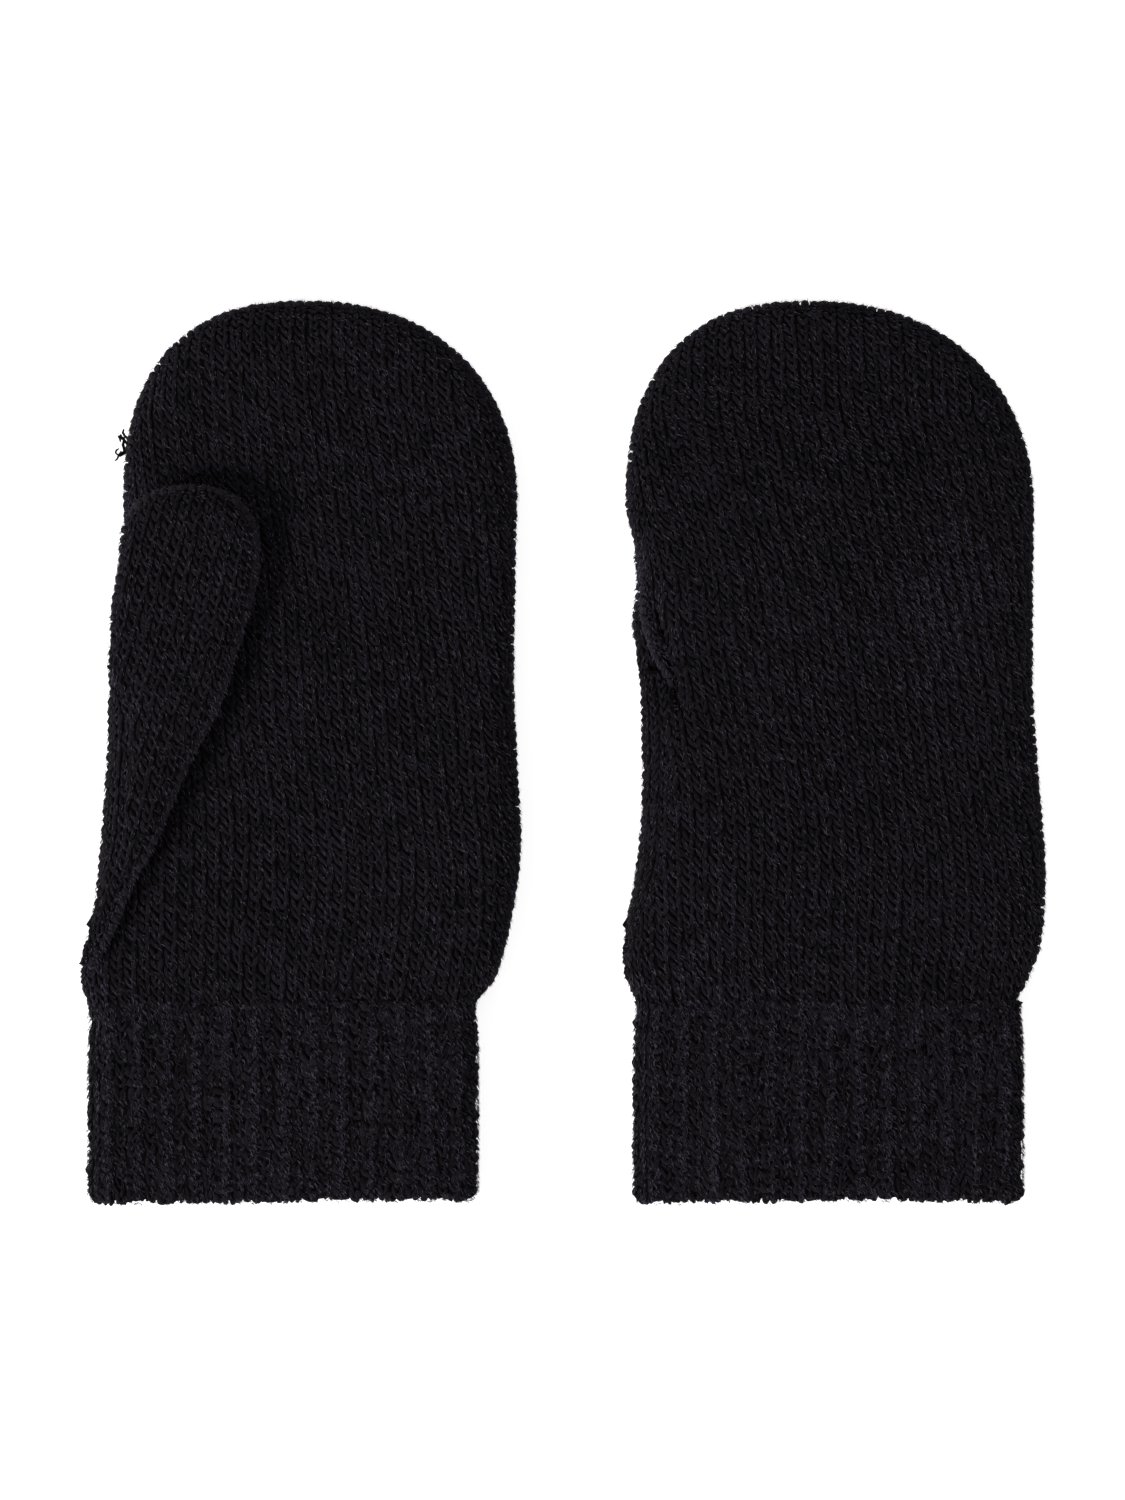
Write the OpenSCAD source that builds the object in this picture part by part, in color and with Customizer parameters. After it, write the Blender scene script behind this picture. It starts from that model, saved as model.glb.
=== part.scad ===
// A pair of knitted mittens lying side by side, fingertips towards +Y.
// The left mitten lies palm up with its thumb folded over the palm.
// The right mitten lies palm down with its thumb folded beneath it.
// Each hand is two knitted walls round a hollow, closed by an overlocked seam.
// Each thumb is a smaller pouch that opens into the hand through a pleated gusset.

/* [Pair] */
// Width of the pair as it lies, edge to edge
pair_width = 193.6; // [185:0.2:240]
// Length of each mitten from hem to fingertips
mitten_length = 180; // [150:1:220]

/* [Cuff] */
// Length of the ribbed cuff
cuff_length = 39; // [30:1:60]
// Width of the cuff lying flat
cuff_width = 78.6; // [60:0.2:95]
// Height of the cuff lying flat
cuff_height = 11; // [9:0.5:14]
// Thickness of the ribbed knit
cuff_wall = 2.4; // [1.5:0.1:3]
// Distance from one rib to the next
rib_pitch = 5.8; // [4:0.1:9]
// Depth of the furrow between two ribs
rib_depth = 0.7; // [0.3:0.1:1]
// Width of the furrow between two ribs
rib_furrow = 1.6; // [0.8:0.1:3]
// Radius of the cuff's two corners at the hem
hem_corner = 3; // [1:0.5:6]

/* [Hand] */
// Width that the outlines of the hand are shares of
hand_width = 82; // [65:1:100]
// Height of the hand lying flat
hand_height = 12; // [10:0.5:16]
// Thickness of the plain knit
knit_wall = 2.3; // [1.5:0.1:2.8]
// Depth of the rounded end over the fingertips, left and right mitten
fingertip_depth = [40, 42]; // [30:1:50]
// Width of the overlocked seam that closes the edge
seam_width = 1.2; // [0.8:0.1:2]
// Height of the overlocked seam
seam_height = 3; // [2:0.1:4]
// Width of the seam allowance, where both walls lie on each other
seam_allowance = 3; // [2:0.5:6]

/* [Thumb] */
// Widest part of the folded thumb
thumb_width = 27.4; // [20:0.2:32]
// Height of the thumb lying flat
thumb_height = 8.8; // [7.5:0.1:12]
// Thickness of the thumb's knit
thumb_wall = 1.9; // [1.2:0.1:2.2]
// Depth of the thumb's round tip
thumb_tip_depth = 13; // [9:0.5:16]
// Depth of the pleat that carries the thumb
pleat_depth = 5.6; // [5:0.1:8]
// Thickness of the gusset's knit
gusset_wall = 1.8; // [1.2:0.1:2]
// Gap between the thumb and the palm it lies on
thumb_gap = 0.4; // [0.3:0.1:1]
// Distance over which the right hand comes down beside the thumb beneath it
drape = 45; // [20:1:60]

/* [Yarn ends] */
// Thickness of a yarn end
yarn_diameter = 1; // [0.6:0.1:1.4]
// Length of the tail at the end of the fingertip seam
tail_length = 4; // [2:0.5:8]
// Gap between the cuff and the seam that lies inside it
yarn_gap = 0.05; // [0.02:0.01:0.1]

/* [Hidden] */

// The two mittens and the two pouches that each one has
LEFT = 0;
RIGHT = 1;
HAND = 0;
THUMB = 1;
// Which way a knitted wall faces
UP = 1;
DOWN = -1;

knit_color = [0.10, 0.09, 0.11];
seam_color = [0.13, 0.12, 0.14];

// Outlines as [share of the way from cuff to fingertip arc, share of hand_width]
thumb_side_edge = [
  [[0, -0.488], [0.06, -0.498], [0.19, -0.464], [0.475, -0.433], [0.66, -0.425],
   [0.8, -0.404], [0.9, -0.387], [1, -0.391]],
  [[0, -0.489], [0.09, -0.517], [0.19, -0.504], [0.29, -0.484], [0.42, -0.472],
   [0.54, -0.472], [0.66, -0.477], [0.76, -0.486], [0.87, -0.475], [1, -0.508]]
];
little_finger_edge = [
  [[0, 0.484], [0.07, 0.526], [0.19, 0.561], [0.31, 0.58], [0.475, 0.571],
   [0.65, 0.563], [1, 0.57]],
  [[0, 0.462], [0.06, 0.48], [0.12, 0.506], [0.26, 0.518], [0.5, 0.498],
   [0.65, 0.487], [1, 0.489]]
];
// Middle line of each hand, as a share of hand_width
hand_middle = [0.06, -0.055];
// How far the hand's lower end stands out past each side of the cuff, left and right mitten
cuff_overhang = [0.552, -0.309];
// Share of the way up over which the hand widens from the cuff
gathered_share = 0.15;
// Roundness of the fingertip arc on the thumb side and on the other side
arc_power = [2.5, 2.2];
// Width of the folded thumb as [share of the way up, share of thumb_width]
thumb_flap = [
  [0.08, 0.165], [0.12, 0.185], [0.225, 0.27], [0.33, 0.44], [0.477, 0.63],
  [0.608, 0.86], [0.766, 0.985], [0.834, 1.01], [0.9, 1]
];
thumb_arc_power = 2.3;

// Shares of the way up at which the outlines are drawn
hand_rows = [0, 0.03, 0.06, 0.1, 0.15, 0.2, 0.26, 0.33, 0.41, 0.49, 0.55, 0.6,
             0.65, 0.71, 0.78, 0.86, 0.93, 1];
thumb_rows = [0.08, 0.1, 0.15, 0.2, 0.26, 0.33, 0.41, 0.49, 0.55, 0.6, 0.65, 0.71,
              0.78, 0.84, 0.9];
gusset_rows = [0.15, 0.2, 0.26, 0.33, 0.41, 0.49, 0.55, 0.6, 0.65];
gusset_inner_rows = [0.33, 0.41, 0.49, 0.55, 0.6];
arc_rows = [9, 6];
last_arc_angle = 87;
columns = [14, 10];
// Share of the way up at which the thumb leaves the hand
crotch = 0.6;
// Roundness of the walls across the hand, and sideways of its edge
wall_power = 6;
gusset_power = 3;
gusset_steps = 8;

// A share is held between 0 and 1 and eased at both ends
function eased(t) = t <= 0 ? 0 : t >= 1 ? 1 : t * t * (3 - 2 * t);
function ramp(a, b, v) = eased((v - a) / (b - a));
function mix(a, b, t) = a + (b - a) * t;

// Smooth curve through a list of [place, value] points
function span(v, p, i = 0) = i >= len(p) - 2 || v < p[i + 1][0] ? i : span(v, p, i + 1);
function slope(p, i) =
  let (a = max(i - 1, 0), b = min(i + 1, len(p) - 1))
  (p[b][1] - p[a][1]) / (p[b][0] - p[a][0]);
function curve(v, p) =
  let (i = span(v, p), w = p[i + 1][0] - p[i][0], t = (v - p[i][0]) / w)
  p[i][1] * (1 + 2 * t) * (1 - t) * (1 - t) + w * slope(p, i) * t * (1 - t) * (1 - t)
  + p[i + 1][1] * t * t * (3 - 2 * t) + w * slope(p, i + 1) * t * t * (t - 1);

// Heights of the fingertip arc's base and of a share of the way up to it
function arc_base(m) = mitten_length - fingertip_depth[m];
function height(m, v) = mix(cuff_length, arc_base(m), v);
function share(m, y) = (y - cuff_length) / (arc_base(m) - cuff_length);

// Half the height of the hand and of the thumb at a share of the way up
function hand_half(v) = mix(cuff_height, hand_height, ramp(0, 0.12, v)) / 2;
function thumb_half(v) = mix(0.42, 1, ramp(0.08, 0.36, v)) * thumb_height / 2;
function half(k, v) = k == HAND ? hand_half(v) : thumb_half(v);
function wall(k) = k == HAND ? knit_wall : thumb_wall;
function hollow_half(k, v) = max(half(k, v) - wall(k), 0.25);
function rim_half(k, v) = min(seam_height / 2, half(k, v) * 0.6);

// How much wider each side of the hand is than its outline, so that its lower end fits the cuff
function gathering(m, v) =
  let (outline = hand_width * (little_finger_edge[m][0][1] - thumb_side_edge[m][0][1]) / 2)
  (cuff_width / 2 + cuff_overhang[m] - outline) * (1 - ramp(0, gathered_share, v));

// Outline of the hand and of the folded thumb, thumb side and other side
function thumb_side(m, v) = hand_width * curve(min(v, 1), thumb_side_edge[m]) - gathering(m, v);
function hand_side(m, v) = hand_width * curve(min(v, 1), little_finger_edge[m]) + gathering(m, v);
function flap(v) = thumb_width * curve(min(v, 0.9), thumb_flap);

// 1 where the thumb side is closed, 0 where it opens into the gusset
function closed(v) = 1 - ramp(0.12, 0.24, v) * (1 - ramp(0.57, 0.68, v));
function hand_inset(v) =
  v < crotch ? pleat_depth * ramp(0.06, 0.3, v) : mix(pleat_depth, seam_width, ramp(crotch, 0.86, v));
function thumb_inset(v) = pleat_depth * 0.9 * ramp(0.1, 0.36, v) * (1 - ramp(0.57, 0.68, v));

// Rim of a pouch's walls, the middle it is drawn round, and its arc
function rim_left(k, m, v) = thumb_side(m, v) + (k == HAND ? hand_inset(v) : thumb_inset(v));
function rim_right(k, m, v) =
  (k == HAND ? hand_side(m, v) : thumb_side(m, v) + flap(v)) - seam_width;
function last_share(k) = k == HAND ? 1 : 0.9;
function middle(k, m, v) =
  k == HAND ? hand_width * hand_middle[m]
  : (rim_left(k, m, min(v, 0.9)) + rim_right(k, m, min(v, 0.9))) / 2;
function arc_start(k, m) = height(m, last_share(k));
function arc_depth(k, m) = (k == HAND ? fingertip_depth[m] : thumb_tip_depth) - seam_width;
function power(k, u) = k == THUMB ? thumb_arc_power : u < 0 ? arc_power[0] : arc_power[1];

// Heights of the rows of a pouch, the arc's rows included
function row_heights(k, m) = concat(
  [for (v = k == HAND ? hand_rows : thumb_rows) height(m, v)],
  [for (i = [1:arc_rows[k]])
    arc_start(k, m) + arc_depth(k, m) * sin(i * last_arc_angle / arc_rows[k])]
);
function side_step(k, j) = sin(90 * (2 * j / columns[k] - 1));

// Rise of the right hand over the thumb beneath it
function rise(m, x, y) =
  m == LEFT ? 0
  : let (v = share(m, y), edge = thumb_side(m, v) + flap(v))
    (2 * thumb_half(v) + thumb_gap) * ramp(0, 0.1, v) * (1 - ramp(1.03, 1.36, v))
    * (1 - eased((x - edge - 1) / drape));

// Height of the middle layer of a pouch
function middle_layer(k, m, x, y) =
  let (v = share(m, y))
  k == HAND ? hand_half(v) + rise(m, x, y)
  : m == LEFT ? 2 * hand_half(v) + thumb_gap + thumb_half(v)
  : thumb_half(v);

// One point of a pouch's wall: shrink is 1 on the outside and less on the inside
function wall_point(k, m, y, u, shrink, lift) =
  let (v = min(share(m, y), last_share(k)),
       mid = middle(k, m, v),
       rim = u < 0 ? rim_left(k, m, v) : rim_right(k, m, v),
       over = max(0, y - arc_start(k, m)) / arc_depth(k, m),
       narrow = pow(1 - pow(over, power(k, u)), 1 / power(k, u)),
       x = mid + abs(u) * (rim - mid) * narrow * shrink,
       base = min(y, arc_start(k, m)),
       yy = base + (y - base) * shrink)
  [x, yy, middle_layer(k, m, x, yy) + lift];

// Nearness to the rim, from 0 in the middle to 1 on the rim
function nearness(k, m, y, u) =
  let (over = max(0, y - arc_start(k, m)) / arc_depth(k, m), n = power(k, u))
  pow(pow(abs(u), n) * (1 - pow(over, n)) + pow(over, n), 1 / n);
function crown(r) = sqrt(max(0, 1 - pow(min(r, 1), wall_power)));

// How closed the wall is on the side where u lies
function closed_at(m, y, u) = u < 0 ? closed(share(m, y)) : 1;

function outer_point(k, m, y, u, face) =
  let (v = share(m, y), h = half(k, v), e = rim_half(k, v),
       lift = mix(h, e + (h - e) * crown(nearness(k, m, y, u)), closed_at(m, y, u)))
  wall_point(k, m, y, u, 1, face * lift);
function rim_point(k, m, y, u, face) =
  let (v = share(m, y))
  wall_point(k, m, y, u, 1, face * mix(hollow_half(k, v), 0, closed_at(m, y, u)));
function inner_point(k, m, y, u, face) =
  let (v = share(m, y), h = hollow_half(k, v),
       mid = middle(k, m, min(v, last_share(k))),
       rim = u < 0 ? rim_left(k, m, min(v, last_share(k))) : rim_right(k, m, min(v, last_share(k))),
       tight = 1 - min(seam_allowance / max(abs(rim - mid), 1), 0.4),
       shrink = mix(0.97, tight, closed_at(m, y, u)),
       lift = mix(h, h * crown(nearness(k, m, y, u)), closed_at(m, y, u)))
  wall_point(k, m, y, u, shrink, face * lift);

// The closed loop of points that one row of a wall has
function wall_loop(k, m, y, face) = concat(
  [for (j = [0:columns[k]]) outer_point(k, m, y, side_step(k, j), face)],
  [rim_point(k, m, y, 1, face)],
  [for (j = [columns[k]:-1:0]) inner_point(k, m, y, side_step(k, j), face)],
  [rim_point(k, m, y, -1, face)]
);

function flip(faces, face) = face == UP ? faces : [for (f = faces) [for (i = [len(f) - 1:-1:0]) f[i]]];

// Triangles between loops of n points each
function loop_faces(rows, n) = [
  for (r = [0:rows - 2]) for (c = [0:n - 1])
    let (a = r * n + c, b = r * n + (c + 1) % n, d = a + n, e = b + n)
    each [[a, d, e], [a, e, b]]
];

// One knitted wall of a pouch, with its rim and its seam allowance
module knitted_wall(k, m, face) {
  rows = row_heights(k, m);
  n = 2 * columns[k] + 4;
  last = (len(rows) - 1) * n;
  w = columns[k] + 1;
  points = [for (y = rows) each wall_loop(k, m, y, face)];
  first_cap = concat(
    [[0, n - 2, n - 1], [w - 1, w, w + 1]],
    [for (j = [0:w - 2]) each [[j, j + 1, n - 2 - j], [j + 1, n - 3 - j, n - 2 - j]]]);
  last_wall = [for (j = [0:w - 1]) [last + n - 1, last + j + 1, last + j]];
  last_allowance = [for (j = [w:n - 3]) [last + n - 1, last + j + 1, last + j]];
  polyhedron(points, flip(concat(loop_faces(len(rows), n), first_cap, last_wall, last_allowance), face));
}

// Rim points of a pouch in order, as [x, y, middle height, half height]
function rim_station(k, m, y, u) =
  let (p = wall_point(k, m, y, u, 1, 0))
  [p[0], p[1], p[2], rim_half(k, share(m, y))];
function rim_stations(k, m, first) =
  let (rows = row_heights(k, m), n = len(rows))
  concat([for (i = [first:n - 1]) rim_station(k, m, rows[i], -1)],
         [for (i = [n - 1:-1:0]) rim_station(k, m, rows[i], 1)]);

// Direction square to the rim, pointing away from the pouch, and sideways at both ends
function outward(s, i) =
  i == 0 ? [-1, 0] : i == len(s) - 1 ? [1, 0]
  : let (d = [s[i + 1][0] - s[i - 1][0], s[i + 1][1] - s[i - 1][1]]) [-d[1], d[0]] / norm(d);

// Overlocked seam round the rim of a pouch, from a row on the thumb side onwards
module overlocked_seam(k, m, first) {
  s = rim_stations(k, m, first);
  profile = [[0, 1], [0.75, 0.7], [1, 0], [0.75, -0.7], [0, -1]];
  n = len(profile);
  points = [for (i = [0:len(s) - 1]) let (d = outward(s, i)) for (p = profile)
    [s[i][0] + d[0] * p[0] * seam_width, s[i][1] + d[1] * p[0] * seam_width, s[i][2] + p[1] * s[i][3]]];
  last = (len(s) - 1) * n;
  caps = [[for (i = [0:n - 1]) i], [for (i = [n - 1:-1:0]) last + i]];
  polyhedron(points, concat(loop_faces(len(s), n), caps));
}

// Half of a rounded arch from [x1, z1] out to x0 and back to [x2, z2]
function arch(x0, x1, z1, x2, z2) = [
  for (i = [0:gusset_steps])
    let (t = -90 + 180 * i / gusset_steps, q = 2 / gusset_power,
         x = t < 0 ? x1 : x2, z = t < 0 ? z1 : z2, mid = (z1 + z2) / 2)
    [x + (x0 - x) * pow(cos(t), q), mid + (z - mid) * pow(abs(sin(t)), q)]
];

// A knitted strip that follows an arch at each height, thick between two arches
module arched_strip(m, rows, outer, inner, face) {
  n = 2 * (gusset_steps + 1);
  points = [for (i = [0:len(rows) - 1])
    let (y = height(m, rows[i]))
    each concat([for (p = outer[i]) [p[0], y, p[1]]],
                [for (j = [gusset_steps:-1:0]) [inner[i][j][0], y, inner[i][j][1]]])];
  last = (len(rows) - 1) * n;
  caps = [[for (i = [0:n - 1]) i], [for (i = [n - 1:-1:0]) last + i]];
  polyhedron(points, flip(concat(loop_faces(len(rows), n), caps), face));
}

// Edges of the hand wall and of the thumb wall that a gusset strip joins
function rim_x(k, m, v) = rim_left(k, m, v);
function rim_out(k, m, v, face) = outer_point(k, m, height(m, v), -1, face)[2];
function rim_in(k, m, v, face) = rim_point(k, m, height(m, v), -1, face)[2];

// The strip thins out where the pleat runs out
function strip_wall(m, v) = min(gusset_wall, 0.45 * min(hand_inset(v), thumb_inset(v)));

// Outer gusset: from the hand's far wall round the fold to the thumb's far wall
module gusset_outer(m) {
  far = m == LEFT ? DOWN : UP;
  outer = [for (v = gusset_rows)
    arch(thumb_side(m, v), rim_x(HAND, m, v), rim_out(HAND, m, v, far),
         rim_x(THUMB, m, v), rim_out(THUMB, m, v, -far))];
  inner = [for (v = gusset_rows)
    arch(thumb_side(m, v) + strip_wall(m, v), rim_x(HAND, m, v), rim_in(HAND, m, v, far),
         rim_x(THUMB, m, v), rim_in(THUMB, m, v, -far))];
  arched_strip(m, gusset_rows, outer, inner, m == LEFT ? UP : DOWN);
}

// Inner gusset: the tight fold between the hand's near wall and the thumb's near wall
module gusset_inner(m) {
  near = m == LEFT ? UP : DOWN;
  fold = gusset_wall + 0.8;
  outer = [for (v = gusset_inner_rows)
    arch(thumb_side(m, v) + fold, rim_x(HAND, m, v), rim_in(HAND, m, v, near),
         rim_x(THUMB, m, v), rim_in(THUMB, m, v, -near))];
  inner = [for (v = gusset_inner_rows)
    arch(thumb_side(m, v) + fold + thumb_wall * 0.8, rim_x(HAND, m, v), rim_out(HAND, m, v, near),
         rim_x(THUMB, m, v), rim_out(THUMB, m, v, -near))];
  arched_strip(m, gusset_inner_rows, outer, inner, m == LEFT ? UP : DOWN);
}

// Cuff: a flat oval tube with furrows between its ribs and a flat underside
module flat_oval(width, height) {
  square([width - height, height], center = true);
  for (side = [-1, 1]) translate([side * (width - height) / 2, 0]) circle(d = height, $fn = 48);
}

module rib_furrows() {
  count = floor((cuff_width - cuff_height) / rib_pitch / 2);
  for (i = [-count:count])
    translate([i * rib_pitch, cuff_height / 2])
      square([rib_furrow, 2 * rib_depth], center = true);
}

module cuff(m) {
  translate([cuff_middle(m), cuff_length, cuff_height / 2])
    rotate([90, 0, 0])
      difference() {
        intersection() {
          linear_extrude(cuff_length) flat_oval(cuff_width, cuff_height);
          hem_block();
        }
        translate([0, 0, -1]) linear_extrude(cuff_length + 2)
          flat_oval(cuff_width - 2 * cuff_wall, cuff_height - 2 * cuff_wall);
        translate([0, 0, -1]) linear_extrude(cuff_length + 2) rib_furrows();
      }
}

// Block that rounds the cuff's corners at the hem, seen from above
module hem_block() {
  straight = cuff_length - hem_corner;
  for (part = [[cuff_width, straight, 0], [cuff_width - 2 * hem_corner, cuff_length, 0]])
    translate([-part[0] / 2, -cuff_height, 0]) cube([part[0], 2 * cuff_height, part[1]]);
  for (side = [-1, 1])
    translate([side * (cuff_width / 2 - hem_corner), cuff_height, straight])
      rotate([90, 0, 0]) cylinder(r = hem_corner, h = 2 * cuff_height, $fn = 48);
}

// The cuff's seam lies on the inside of its edge
module cuff_seam(m) {
  inside = cuff_width / 2 - cuff_wall - seam_width / 2 - yarn_gap;
  translate([cuff_middle(m) + inside, cuff_length, cuff_height / 2])
    rotate([90, 0, 0]) cylinder(d = seam_width, h = cuff_length - hem_corner, $fn = 24);
}

function cuff_middle(m) = (thumb_side(m, 0) + hand_side(m, 0)) / 2;

// A yarn end of a few short turns, standing out of an edge
module yarn_end(length) {
  for (lean = [-28, 6, 35])
    rotate([0, lean / 3, lean]) translate([-length / 2 - 0.1, 0, 0])
      cube([length, yarn_diameter / 2, yarn_diameter / 2], center = true);
}

// Outermost points of each mitten, which set where it stands in the pair
left_reach = min([for (v = hand_rows) thumb_side(LEFT, v)]);
right_reach = max([for (v = hand_rows) hand_side(RIGHT, v)]);
mitten_x = [-pair_width / 2 - left_reach, pair_width / 2 - right_reach];

module placed(m, shade) {
  color(shade) translate([mitten_x[m], -mitten_length / 2, 0]) children();
}

// Rows at which the fingertip seam and the thumb seam start on the thumb side
hand_seam_row = 12;
thumb_seam_row = 11;

module left_palm() { placed(LEFT, knit_color) knitted_wall(HAND, LEFT, UP); }
module left_back() { placed(LEFT, knit_color) knitted_wall(HAND, LEFT, DOWN); }
module left_cuff() { placed(LEFT, knit_color) cuff(LEFT); }
module left_closing_seam() { placed(LEFT, seam_color) overlocked_seam(HAND, LEFT, hand_seam_row); }
module left_cuff_seam() { placed(LEFT, seam_color) cuff_seam(LEFT); }
module left_thumb_upper() { placed(LEFT, knit_color) knitted_wall(THUMB, LEFT, UP); }
module left_thumb_lower() { placed(LEFT, knit_color) knitted_wall(THUMB, LEFT, DOWN); }
module left_thumb_seam() { placed(LEFT, seam_color) overlocked_seam(THUMB, LEFT, thumb_seam_row); }
module left_gusset_outer() { placed(LEFT, knit_color) gusset_outer(LEFT); }
module left_gusset_inner() { placed(LEFT, knit_color) gusset_inner(LEFT); }
module left_thread_tail() {
  y = arc_base(LEFT) + 0.26 * fingertip_depth[LEFT];
  edge = wall_point(HAND, LEFT, y, -1, 1, 0);
  placed(LEFT, seam_color)
    translate([edge[0] - seam_width, y, edge[2]]) yarn_end(tail_length);
}
module left_cuff_yarn_end() {
  placed(LEFT, seam_color)
    translate([cuff_middle(LEFT) + cuff_width / 2, cuff_length * 0.86, cuff_height / 2])
      mirror([1, 0, 0]) yarn_end(yarn_diameter);
}

module right_back() { placed(RIGHT, knit_color) knitted_wall(HAND, RIGHT, UP); }
module right_palm() { placed(RIGHT, knit_color) knitted_wall(HAND, RIGHT, DOWN); }
module right_cuff() { placed(RIGHT, knit_color) cuff(RIGHT); }
module right_closing_seam() { placed(RIGHT, seam_color) overlocked_seam(HAND, RIGHT, hand_seam_row); }
module right_cuff_seam() { placed(RIGHT, seam_color) cuff_seam(RIGHT); }
module right_thumb_upper() { placed(RIGHT, knit_color) knitted_wall(THUMB, RIGHT, UP); }
module right_thumb_lower() { placed(RIGHT, knit_color) knitted_wall(THUMB, RIGHT, DOWN); }
module right_thumb_seam() { placed(RIGHT, seam_color) overlocked_seam(THUMB, RIGHT, thumb_seam_row); }
module right_gusset_outer() { placed(RIGHT, knit_color) gusset_outer(RIGHT); }
module right_gusset_inner() { placed(RIGHT, knit_color) gusset_inner(RIGHT); }

left_palm();
left_back();
left_cuff();
left_closing_seam();
left_cuff_seam();
left_thumb_upper();
left_thumb_lower();
left_thumb_seam();
left_gusset_outer();
left_gusset_inner();
left_thread_tail();
left_cuff_yarn_end();
right_back();
right_palm();
right_cuff();
right_closing_seam();
right_cuff_seam();
right_thumb_upper();
right_thumb_lower();
right_thumb_seam();
right_gusset_outer();
right_gusset_inner();
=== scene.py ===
import math

import bpy
import numpy as np
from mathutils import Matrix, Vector


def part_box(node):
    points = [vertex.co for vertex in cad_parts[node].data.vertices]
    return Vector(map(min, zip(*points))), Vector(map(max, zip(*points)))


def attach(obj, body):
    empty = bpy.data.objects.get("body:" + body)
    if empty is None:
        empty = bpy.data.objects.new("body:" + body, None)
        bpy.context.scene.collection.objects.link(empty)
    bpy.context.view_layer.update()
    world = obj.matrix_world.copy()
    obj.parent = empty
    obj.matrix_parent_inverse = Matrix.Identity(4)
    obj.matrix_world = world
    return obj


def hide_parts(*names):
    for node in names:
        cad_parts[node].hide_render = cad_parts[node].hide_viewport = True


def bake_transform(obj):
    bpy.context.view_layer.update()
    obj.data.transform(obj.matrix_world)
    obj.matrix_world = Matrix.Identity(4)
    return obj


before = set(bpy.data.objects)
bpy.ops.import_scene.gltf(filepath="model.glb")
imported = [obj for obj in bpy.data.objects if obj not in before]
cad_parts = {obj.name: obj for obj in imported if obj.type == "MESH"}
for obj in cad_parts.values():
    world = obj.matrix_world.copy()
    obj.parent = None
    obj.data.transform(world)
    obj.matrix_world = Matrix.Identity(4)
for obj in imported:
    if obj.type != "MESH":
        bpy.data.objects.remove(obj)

bl_info = {
    "name": "Knitted mittens",
    "version": (1, 0, 0),
    "blender": (4, 5, 0),
    "location": "View3D > Sidebar > Mittens",
    "description": "Knits a pair of mittens, stitch by stitch, over the shapes of their CAD parts",
    "category": "Object",
}

MM = 0.001
LEFT, RIGHT = 0, 1
HAND, THUMB = 0, 1
UP, DOWN = 1, -1
SIDES = ("left", "right")

# Outlines as (share of the way from cuff to fingertip arc, share of the hand's width)
THUMB_SIDE = (
    ((0, -0.488), (0.06, -0.498), (0.19, -0.464), (0.475, -0.433), (0.66, -0.425),
     (0.8, -0.404), (0.9, -0.387), (1, -0.391)),
    ((0, -0.489), (0.09, -0.517), (0.19, -0.504), (0.29, -0.484), (0.42, -0.472),
     (0.54, -0.472), (0.66, -0.477), (0.76, -0.486), (0.87, -0.475), (1, -0.508)),
)
LITTLE_FINGER_SIDE = (
    ((0, 0.484), (0.07, 0.526), (0.19, 0.561), (0.31, 0.58), (0.475, 0.571),
     (0.65, 0.563), (1, 0.57)),
    ((0, 0.462), (0.06, 0.48), (0.12, 0.506), (0.26, 0.518), (0.5, 0.498),
     (0.65, 0.487), (1, 0.489)),
)
# Width of the folded thumb, as (share of the way up, share of the thumb's width)
THUMB_FLAP = (
    (0.08, 0.165), (0.12, 0.185), (0.225, 0.27), (0.33, 0.44), (0.477, 0.63),
    (0.608, 0.86), (0.766, 0.985), (0.834, 1.01), (0.9, 1),
)
# Middle line of each hand, as a share of its width
HAND_MIDDLE = (0.06, -0.055)
# How far the hand's lower end stands out past each side of the cuff
CUFF_OVERHANG = (0.552 * MM, -0.309 * MM)
# Share of the way up over which the hand widens from the cuff
GATHERED_SHARE = 0.15
# How far the hand's lower end draws in to meet the cuff
TUCK = 0.6 * MM
# How far inside the outline the knit ends and the overlocking begins
SEWN_INSET = 0.7 * MM
# Roundness of the fingertip arc on the thumb side and on the other, of the thumb's tip and
# of the fold that carries the thumb
ARC_POWER = (2.5, 2.2)
THUMB_ARC_POWER = 2.3
FOLD_POWER = 2.2
# Share of the way up at which the thumb leaves the hand
CROTCH = 0.6
# Depth of the fingertip arc, left and right
FINGERTIP_DEPTH = (40 * MM, 42 * MM)
# Radius of the soft edge of a hand and of a thumb
ROLL = (5.4 * MM, 3.8 * MM)
# Radius of the cuff's turned-in hem, of its corners at the hem, and how far the hem runs inside
HEM, HEM_CORNER, HEM_INSIDE = 1.1 * MM, 3 * MM, 6 * MM
# How far the ground cloth's outer face lies below the stitches' feet, and its inner face
UNDER = 0.1 * MM
HAND_CLOTH, GUSSET_CLOTH, CUFF_CLOTH = 1.2 * MM, 1.1 * MM, 0.8 * MM
# Where the knit is dented: x, y, radius and depth
DENTS = (
    ((-27 * MM, -42 * MM, 9 * MM, 1.1 * MM), (-46 * MM, 30 * MM, 16 * MM, 0.6 * MM)),
    ((77 * MM, -40.5 * MM, 9 * MM, 1.5 * MM), (44 * MM, -30 * MM, 13 * MM, 0.8 * MM)),
)
# The crease where the right hand's edge folds over its thumb: its points, depth and half width
CREASE = ((18 * MM, 32 * MM), (18.8 * MM, 28 * MM), (20.2 * MM, 22 * MM), (21.4 * MM, 16 * MM),
          (22.8 * MM, 8 * MM))
CREASE_DEPTH, CREASE_WIDTH = 6.5 * MM, 1.3 * MM
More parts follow.
